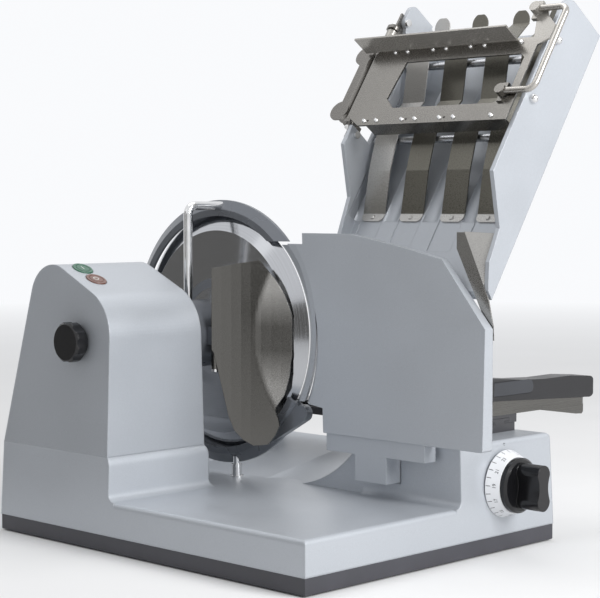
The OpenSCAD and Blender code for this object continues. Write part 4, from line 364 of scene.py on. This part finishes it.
M = {
    "casting": paint("grey_lacquer", GREY, 0.40, 0.35, edge=0.0035),
    # The tower's lacquer is the casting's grey made darker: painted shade
    "tower": paint("grey_lacquer_tower", shade(GREY, 0.9), 0.38, 0.35, edge=0.003),
    "plate": paint("grey_lacquer_plate", GREY, 0.38, 0.35, edge=0.0015),
    # The lip's lacquer is the plate's grey made darker: painted shade on the bevel
    "lip": paint("grey_lacquer_lip", shade(GREY, 0.9), 0.42, 0.35, edge=0.0001),
    "ring": paint("grey_lacquer_ring", RING_GREY, 0.28, 0.5, edge=0.0012),
    "inner": paint("plain_inner", (0.30, 0.31, 0.32), 0.5, 0.5, edge=0.0008),
    "rail": paint("dark_rail", (0.055, 0.055, 0.060), 0.35, 0.3, edge=0.001),
    "motor": paint("motor_paint", (0.04, 0.045, 0.05), 0.5, 0.1, edge=0.0008),
    "steel_s": brushed("brushed_steel_slope", (0.21, 0.20, 0.187), 0.27, ALONG_SLOPE),
    "steel_y": brushed("brushed_steel_y", (0.17, 0.166, 0.156), 0.28, ALONG_Y),
    # The end guard's brushed steel is a lighter copy of the other brushed steel: a painted
    # highlight
    "steel_guard": brushed("brushed_steel_guard", (0.36, 0.352, 0.337), 0.30, ALONG_Z),
    # The screws at the strips' feet take the feet's painted highlight colour
    "strip_feet": brushed("strip_feet_steel", STRIP_PAINTED_HIGHLIGHT, 0.30, ALONG_SLOPE, metallic=0.45),
    "strips": strip_steel("strip_steel_bent", (0.165, 0.158, 0.135), STRIP_PAINTED_HIGHLIGHT),
    # The deflector's second colour is its painted highlight
    "deflector": deflector_steel("deflector_steel", (0.145, 0.141, 0.132), (0.42, 0.41, 0.39)),
    # The holder's second colour is the flange's painted highlight
    "holder": holder_steel("holder_steel", (0.265, 0.254, 0.236), (0.36, 0.345, 0.32)),
    "bail": polished("satin_steel", (0.46, 0.44, 0.41), 0.27),
    "chrome": polished("bright_steel", (0.74, 0.74, 0.74), 0.12),
    "satin": polished("satin_aluminium", (0.55, 0.56, 0.58), 0.28),
    "blade": turned("ground_blade", (0.50, 0.51, 0.53), 0.11),
    # The cover's low colour is a painted dark reflection under the axis
    "cover": turned("turned_cover", (0.37, 0.365, 0.35), 0.26, low=(0.10, 0.105, 0.115)),
    "rim": moulded("dark_rim", (0.045, 0.045, 0.055), 0.42, grain=0.00004, coat=0.1, edge=0.001),
    "black": moulded("black_gloss", (0.005, 0.005, 0.006), 0.22, grain=0.00002, cells=1200.0,
                     edge=0.0012),
    "grip": moulded("black_grip", (0.014, 0.014, 0.016), 0.42, grain=0.00006, cells=1300.0,
                    edge=0.0025),
    "inset": moulded("grip_inset", (0.035, 0.038, 0.045), 0.5, grain=0.00006, cells=1500.0),
    "rubber": moulded("foot_rubber", (0.02, 0.02, 0.02), 0.7, grain=0.00008),
    "pad": moulded("glide_plastic", (0.65, 0.65, 0.60), 0.5, grain=0.00003, cells=1800.0),
    "green": moulded("green_button", (0.014, 0.10, 0.055), 0.34, grain=0.00002, coat=0.3,
                     edge=0.001),
    "brown": moulded("red_brown_button", (0.14, 0.058, 0.040), 0.34, grain=0.00002, coat=0.3,
                     edge=0.001),
    "white": moulded("white_scale", (0.80, 0.81, 0.83), 0.42, grain=0.00001, coat=0.2,
                     edge=0.0006, vary=0.02),
    "ink": moulded("scale_ink", (0.03, 0.03, 0.035), 0.5, grain=0.00001, edge=PRINT_EDGE),
    "sign": moulded("button_sign", (0.62, 0.63, 0.60), 0.45, grain=0.00001, edge=PRINT_EDGE),
}

LOOK = {
    "base_casting": "casting", "base_rim": "rim", "bottom_cover": "inner",
    "cover_screws": "chrome", "feet": "rubber", "tower_housing": "tower",
    "start_button": "green", "stop_button": "brown", "switch_block": "rim",
    "power_inlet": "rim", "motor": "motor", "motor_shaft": "chrome", "motor_pulley": "satin",
    "motor_bracket": "inner", "drive_belt": "rubber", "blade_pulley": "satin",
    "hub_housing": "ring", "bearings": "chrome", "blade_shaft": "chrome", "blade": "blade",
    "blade_screws": "chrome", "blade_cover": "cover", "draw_rod": "chrome",
    "release_knob": "black", "ring_guard": "ring", "ring_stay": "chrome", "ring_post": "chrome",
    "slice_deflector": "deflector", "deflector_bracket": "ring", "deflector_pin": "chrome",
    "gauge_plate": "plate", "gauge_support": "plate", "gauge_screws": "chrome",
    "gauge_slide": "satin", "guide_rods": "chrome", "cam_follower": "chrome",
    "scroll_cam": "satin", "dial_spindle": "chrome", "dial_scale": "white",
    "thickness_knob": "black", "guide_rail": "rail", "carriage_shoe": "rail",
    "glide_pads": "pad", "handle_plate": "steel_y", "handle_grip": "grip",
    "grip_inset": "inset", "stop_tab": "steel_y", "chute_bracket": "plate", "chute": "plate",
    "chute_strips": "strips", "strip_screws": "strip_feet", "support_bars": "satin",
    "chute_bolts": "chrome", "end_guard": "steel_guard", "holder_frame": "holder",
    "holder_spikes": "chrome", "rod_brackets": "steel_s", "hinge_rod": "chrome",
    "hinge_leaf": "steel_s", "bail_handle": "bail",
}

for name, key in LOOK.items():
    o = nodes[name]
    for slot in o.material_slots:
        slot.material = M[key]
    if not o.material_slots:
        o.data.materials.append(M[key])

# The deflector's outer part, bent towards the blade along the curved crease: its solid's mesh
# is cut into cells, and each point inside the crease moves by a share of its distance from it

BEND = 0.16
CELL = 0.003

sheet = nodes["slice_deflector"].data.copy()
bent = bmesh.new()
bent.from_mesh(sheet)
for axis in (1, 2):
    across = Vector((0.0, 0.0, 0.0))
    across[axis] = 1.0
    for i in range(1, int((sheet_hi[axis] - sheet_lo[axis]) / CELL) + 1):
        geom = bent.verts[:] + bent.edges[:] + bent.faces[:]
        cut = across * (sheet_lo[axis] + i * CELL)
        bmesh.ops.bisect_plane(bent, geom=geom, plane_co=cut, plane_no=across)
for v in bent.verts:
    v.co.x += BEND * max(0.0, CREASE_R - math.hypot(v.co.y - CREASE_AT[1], v.co.z - CREASE_AT[2]))
bent.to_mesh(sheet)
bent.free()
deflector = bpy.data.objects.new("deflector_sheet", sheet)
scene.collection.objects.link(deflector)
sheet.materials.clear()
sheet.materials.append(M["deflector"])
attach(deflector, "deflector")
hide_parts("slice_deflector")

# Marks on the dial, the buttons and the casting


def piece(name, mesh, body, key):
    """A visible object that rides one body."""
    o = bpy.data.objects.new(name, mesh)
    scene.collection.objects.link(o)
    mesh.materials.clear()
    mesh.materials.append(M[key])
    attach(o, body)


def mark(name, verts, faces, body, key):
    """A thin printed mark given by its corners."""
    mesh = bpy.data.meshes.new(name)
    mesh.from_pydata(verts, [], faces)
    piece(name, mesh, body, key)


def word(text, size, place, body, key, thick):
    """A flat raised word, laid with its centre at the matrix given."""
    curve = bpy.data.curves.new("word_" + text, "FONT")
    curve.body = text
    curve.size = size
    curve.align_x = "CENTER"
    curve.align_y = "CENTER"
    curve.extrude = thick
    tmp = bpy.data.objects.new("tmp_word", curve)
    scene.collection.objects.link(tmp)
    bpy.context.view_layer.update()
    shaped = tmp.evaluated_get(bpy.context.evaluated_depsgraph_get())
    mesh = bpy.data.meshes.new_from_object(shaped)
    bpy.data.objects.remove(tmp)
    mesh.transform(place)
    piece("mark_" + text, mesh, body, key)


def frame_at(at, right, up):
    """A matrix that lays flat work at a point, with its right and up directions."""
    right, up = right.normalized(), up.normalized()
    out = right.cross(up)
    return Matrix((
        (right.x, up.x, out.x, at.x),
        (right.y, up.y, out.y, at.y),
        (right.z, up.z, out.z, at.z),
        (0.0, 0.0, 0.0, 1.0)))


# The scale is a cone: wide at the casting, narrow at the knob
DIAL_STEPS = 24
DIAL_TURN = math.radians(345)
DIAL_NARROW = 0.036
PRINT_LIFT = 0.00004
TICK_START, TICK_END, TICK_HALF = 0.0008, 0.0068, 0.0004
NUMBER_AT, NUMBER_SIZE, NUMBER_THICK = 0.0120, 0.0064, 0.00003

lo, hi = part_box("dial_scale")
dial = Vector(((lo.x + hi.x) / 2, lo.y, (lo.z + hi.z) / 2))
wide = (hi.x - lo.x) / 2
depth = hi.y - lo.y
slant = math.hypot(depth, wide - DIAL_NARROW)


def on_cone(angle, along, side=0.0):
    """A point of the cone: angle clockwise from the top, distance from its wide edge."""
    share = along / slant
    r = wide + (DIAL_NARROW - wide) * share + PRINT_LIFT
    a = angle + side / r
    return Vector((dial.x + r * math.sin(a), hi.y - depth * share - PRINT_LIFT,
                   dial.z + r * math.cos(a)))


verts, faces = [], []
for step in range(DIAL_STEPS + 1):
    a = step * (DIAL_TURN / DIAL_STEPS)
    n = len(verts)
    for (along, side) in ((TICK_START, -TICK_HALF), (TICK_END, -TICK_HALF),
                          (TICK_END, TICK_HALF), (TICK_START, TICK_HALF)):
        verts.append(on_cone(a, along, side))
    faces.append((n, n + 3, n + 2, n + 1))
    if step % 2:
        right = Vector((math.cos(a), 0.0, -math.sin(a)))
        up = on_cone(a, 0.0) - on_cone(a, slant)
        word(str(step), NUMBER_SIZE, frame_at(on_cone(a, NUMBER_AT), right, up),
             "dial", "ink", NUMBER_THICK)
mark("dial_ticks", verts, faces, "dial", "ink")

# Signs on the two buttons, whose faces tilt forward
BUTTON_TILT = math.radians(25.1)
SIGN_SIZE, SIGN_LIFT, SIGN_THICK = 0.011, 0.00005, 0.00005

normal = Vector((0.0, -math.sin(BUTTON_TILT), math.cos(BUTTON_TILT)))
right = Vector((1, 0, 0))
for body, text in (("start", "I"), ("stop", "O")):
    top = max(v.co.dot(normal) for v in nodes[body + "_button"].data.vertices)
    a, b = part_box(body + "_button")
    mid = (a + b) / 2
    at = mid + normal * (top - mid.dot(normal) + SIGN_LIFT)
    word(text, SIGN_SIZE, frame_at(at, right, normal.cross(right)), body, "sign",
         SIGN_THICK)

# Index mark over the scale, a small ring on the face of the casting
INDEX_ABOVE, INDEX_LIFT = 0.0065, 0.0001
INDEX_RADII = (0.0011, 0.0019)
INDEX_SIDES = 24
RAY_LENGTH = 0.2

_, at, normal, _ = nodes["base_casting"].ray_cast(
    Vector((dial.x, dial.y - RAY_LENGTH, dial.z + wide + INDEX_ABOVE)), Vector((0, 1, 0)))
seat = frame_at(at + normal * INDEX_LIFT, right, normal.cross(right))
verts, faces = [], []
for i in range(INDEX_SIDES):
    a = math.tau * i / INDEX_SIDES
    for r in INDEX_RADII:
        verts.append(seat @ Vector((r * math.cos(a), r * math.sin(a), 0.0)))
    n, end = 2 * i, 2 * INDEX_SIDES
    faces.append((n, n + 1, (n + 3) % end, (n + 2) % end))
mark("index_mark", verts, faces, "base", "ink")

# Two small forms that the drawing leaves out. DRAWING_MID takes the drawing's own
# millimetres to the shared frame

DRAWING_MID = Vector((0.308544, 0.259875, -0.0015))


def solid(name, verts, faces, body, key):
    """A closed mesh given in the drawing's own millimetres, made with its faces outward."""
    mesh = bpy.data.meshes.new(name)
    mesh.from_pydata([Vector(v) / 1000 - DRAWING_MID for v in verts], [], faces)
    outward = bmesh.new()
    outward.from_mesh(mesh)
    bmesh.ops.recalc_face_normals(outward, faces=outward.faces)
    outward.to_mesh(mesh)
    outward.free()
    piece(name, mesh, body, key)


# The gauge plate's back face, and its thickness at three heights
PLATE_BACK_MM = 266
PLATE_HEIGHTS_MM = (141.3, 289.0, 400.5)
PLATE_THICK_MM = (19, 15.04, 8)


def plate_x(z):
    """Outer face of the gauge plate at a height: it thins towards the top."""
    k = 0 if z < PLATE_HEIGHTS_MM[1] else 1
    low, high = PLATE_HEIGHTS_MM[k:k + 2]
    thick, thin = PLATE_THICK_MM[k:k + 2]
    return PLATE_BACK_MM - thick + (thick - thin) * (z - low) / (high - low)


# The plate's bevelled lip goes round the blade's axis, between two heights under and over it.
# Its section has five corners: two on the plate's outer face, sunk into it a little, two at
# the thin edge near the blade, and one at the back
AXIS_Y_MM, AXIS_Z_MM = 414.5, 262.5
LIP_UNDER_MM, LIP_OVER_MM = 83.3, 121.9
LIP_RADII_MM = (190.0, 182.0, 165.6, 165.6, 179.0)
LIP_SINK_MM = 0.06
LIP_EDGE_MM, LIP_BACK_MM = 264.8, 265.6
LIP_STEPS = 48

verts, faces = [], []
corners = len(LIP_RADII_MM)
for i in range(LIP_STEPS + 1):
    u = i / LIP_STEPS
    for k, r in enumerate(LIP_RADII_MM):
        a0, a1 = -math.asin(LIP_UNDER_MM / r), math.asin(LIP_OVER_MM / r)
        a = a0 + (a1 - a0) * u
        y, z = AXIS_Y_MM - r * math.cos(a), AXIS_Z_MM + r * math.sin(a)
        face = plate_x(z) - LIP_SINK_MM
        verts.append(((face, face, LIP_EDGE_MM, LIP_BACK_MM, LIP_BACK_MM)[k], y, z))
    if i:
        a, b = (i - 1) * corners, i * corners
        for k in range(corners):
            n = (k + 1) % corners
            faces.append((a + k, a + n, b + n, b + k))
faces.append(tuple(range(corners - 1, -1, -1)))
faces.append(tuple(range(LIP_STEPS * corners, (LIP_STEPS + 1) * corners)))
solid("gauge_lip", verts, faces, "gauge", "lip")

# The web closes the slot in the chute's far wall: a box in the chute's own frame, which starts
# at CHUTE_X and CHUTE_Z and leans by the slope
CHUTE_X_MM, CHUTE_Z_MM = 275.4, 323.2
WEB_ALONG_MM = (104.5, 399.0)
WEB_ACROSS_MM = (226.7, 227.9)
WEB_HEIGHT_MM = (11.5, 23.5)

verts = []
for s in WEB_ALONG_MM:
    for y in WEB_ACROSS_MM:
        for n in WEB_HEIGHT_MM:
            verts.append((CHUTE_X_MM + s * math.cos(SLOPE) - n * math.sin(SLOPE), y,
                          CHUTE_Z_MM + s * math.sin(SLOPE) + n * math.cos(SLOPE)))
faces = [(0, 1, 3, 2), (4, 6, 7, 5), (0, 4, 5, 1), (2, 3, 7, 6), (0, 2, 6, 4), (1, 5, 7, 3)]
solid("wall_web", verts, faces, "carriage", "plate")

# World: the backdrop is paler to the camera, in reflections and through clear things than the
# light that it gives to matt faces

SKY = (0.97, 0.98, 1.0, 1.0)
SKY_LEVEL = 0.56
PAPER_LEVEL = 0.98

world = bpy.data.worlds.new("studio")
world.use_nodes = True
tree = world.node_tree
light = tree.nodes["Background"]
backdrop = tree.nodes.new("ShaderNodeBackground")
for background, level in ((light, SKY_LEVEL), (backdrop, PAPER_LEVEL)):
    background.inputs["Color"].default_value = SKY
    background.inputs["Strength"].default_value = level
path = tree.nodes.new("ShaderNodeLightPath")
seen = path.outputs["Is Camera Ray"]
for ray in ("Is Glossy Ray", "Is Transmission Ray"):
    either = tree.nodes.new("ShaderNodeMath")
    either.operation = "MAXIMUM"
    tree.links.new(seen, either.inputs[0])
    tree.links.new(path.outputs[ray], either.inputs[1])
    seen = either.outputs[0]
both = tree.nodes.new("ShaderNodeMixShader")
tree.links.new(seen, both.inputs[0])
tree.links.new(light.outputs[0], both.inputs[1])
tree.links.new(backdrop.outputs[0], both.inputs[2])
tree.links.new(both.outputs[0], tree.nodes["World Output"].inputs["Surface"])
scene.world = world

# Pale floor that fades into the backdrop, so that no horizon shows

FLOOR_SIZE = 80.0
FLOOR_DROP = 0.0002
FADE_START, FADE_END = 0.9, 5.5


def rectangle(name, width, height, material):
    w, h = width / 2, height / 2
    mesh = bpy.data.meshes.new(name)
    mesh.from_pydata([(-w, -h, 0), (w, -h, 0), (w, h, 0), (-w, h, 0)], [], [(0, 1, 2, 3)])
    mesh.materials.append(material)
    return mesh


g = Graph("floor_paper")
far = g.node("ShaderNodeVectorMath", operation="LENGTH")
g.link(g.place(), far.inputs[0])
fade = g.spread(far.outputs["Value"], 0.0, 1.0, FADE_START, FADE_END)
paper = [(0.3, (0.80, 0.80, 0.80)), (0.7, (0.83, 0.83, 0.83))]
g.feed(Base_Color=g.ramp(g.noise(scale=3.0), paper))
g.tint(fade, (0.0, 0.0, 0.0))
g.feed(Emission_Strength=g.maths("MULTIPLY", fade, PAPER_LEVEL))
g.set(Emission_Color=SKY, Roughness=1.0, Specular_IOR_Level=0.0)
floor = bpy.data.objects.new("floor", rectangle("floor", FLOOR_SIZE, FLOOR_SIZE, g.mat))
floor.location.z = -FLOOR_DROP
scene.collection.objects.link(floor)

# Dark boards that only reflections see

FLAG_LEVEL = 0.17

board = Graph("flag_black")
board.set(Base_Color=(0.004, 0.004, 0.004, 1.0), Roughness=1.0, Specular_IOR_Level=0.0,
          Emission_Color=(1.0, 0.98, 0.94, 1.0), Emission_Strength=FLAG_LEVEL)


def aim(at, to, front):
    """Rotation that points an object's front axis from one place to another."""
    return (Vector(to) - Vector(at)).to_track_quat(front, "Y").to_euler()


def flag(name, at, to, width, height):
    o = bpy.data.objects.new(name, rectangle(name, width, height, board.mat))
    o.location = at
    o.rotation_euler = aim(at, to, "Z")
    scene.collection.objects.link(o)
    o.visible_camera = False
    o.visible_diffuse = False
    o.visible_shadow = False


flag("flag_left", at=(-2.6, 2.2, 0.75), to=(0.0, 0.1, 0.3), width=2.8, height=1.9)
flag("flag_left_near", at=(-2.6, -0.5, 0.35), to=(0.0, 0.1, 0.3), width=1.0, height=1.0)
flag("flag_right_low", at=(2.4, -2.4, 0.28), to=(0.1, 0.0, 0.3), width=1.6, height=0.7)
flag("flag_floor", at=(-1.35, 1.3, 0.01), to=(-1.35, 1.3, 1.0), width=1.8, height=1.8)

# Soft lamps


def lamp(name, at, to, width, height, power):
    area = bpy.data.lights.new(name, "AREA")
    area.shape = "RECTANGLE"
    area.size = width
    area.size_y = height
    area.energy = power
    o = bpy.data.objects.new(name, area)
    o.location = at
    o.rotation_euler = aim(at, to, "-Z")
    scene.collection.objects.link(o)


lamp("key_soft", at=(0.2, -2.9, 1.5), to=(0.0, 0.0, 0.3), width=1.6, height=1.4, power=86.0)
lamp("top_soft", at=(0.2, 0.4, 2.6), to=(0.0, 0.0, 0.2), width=2.0, height=1.6, power=20.0)
lamp("left_soft", at=(-2.4, 0.9, 1.5), to=(0.0, 0.1, 0.3), width=0.5, height=1.6, power=1.0)
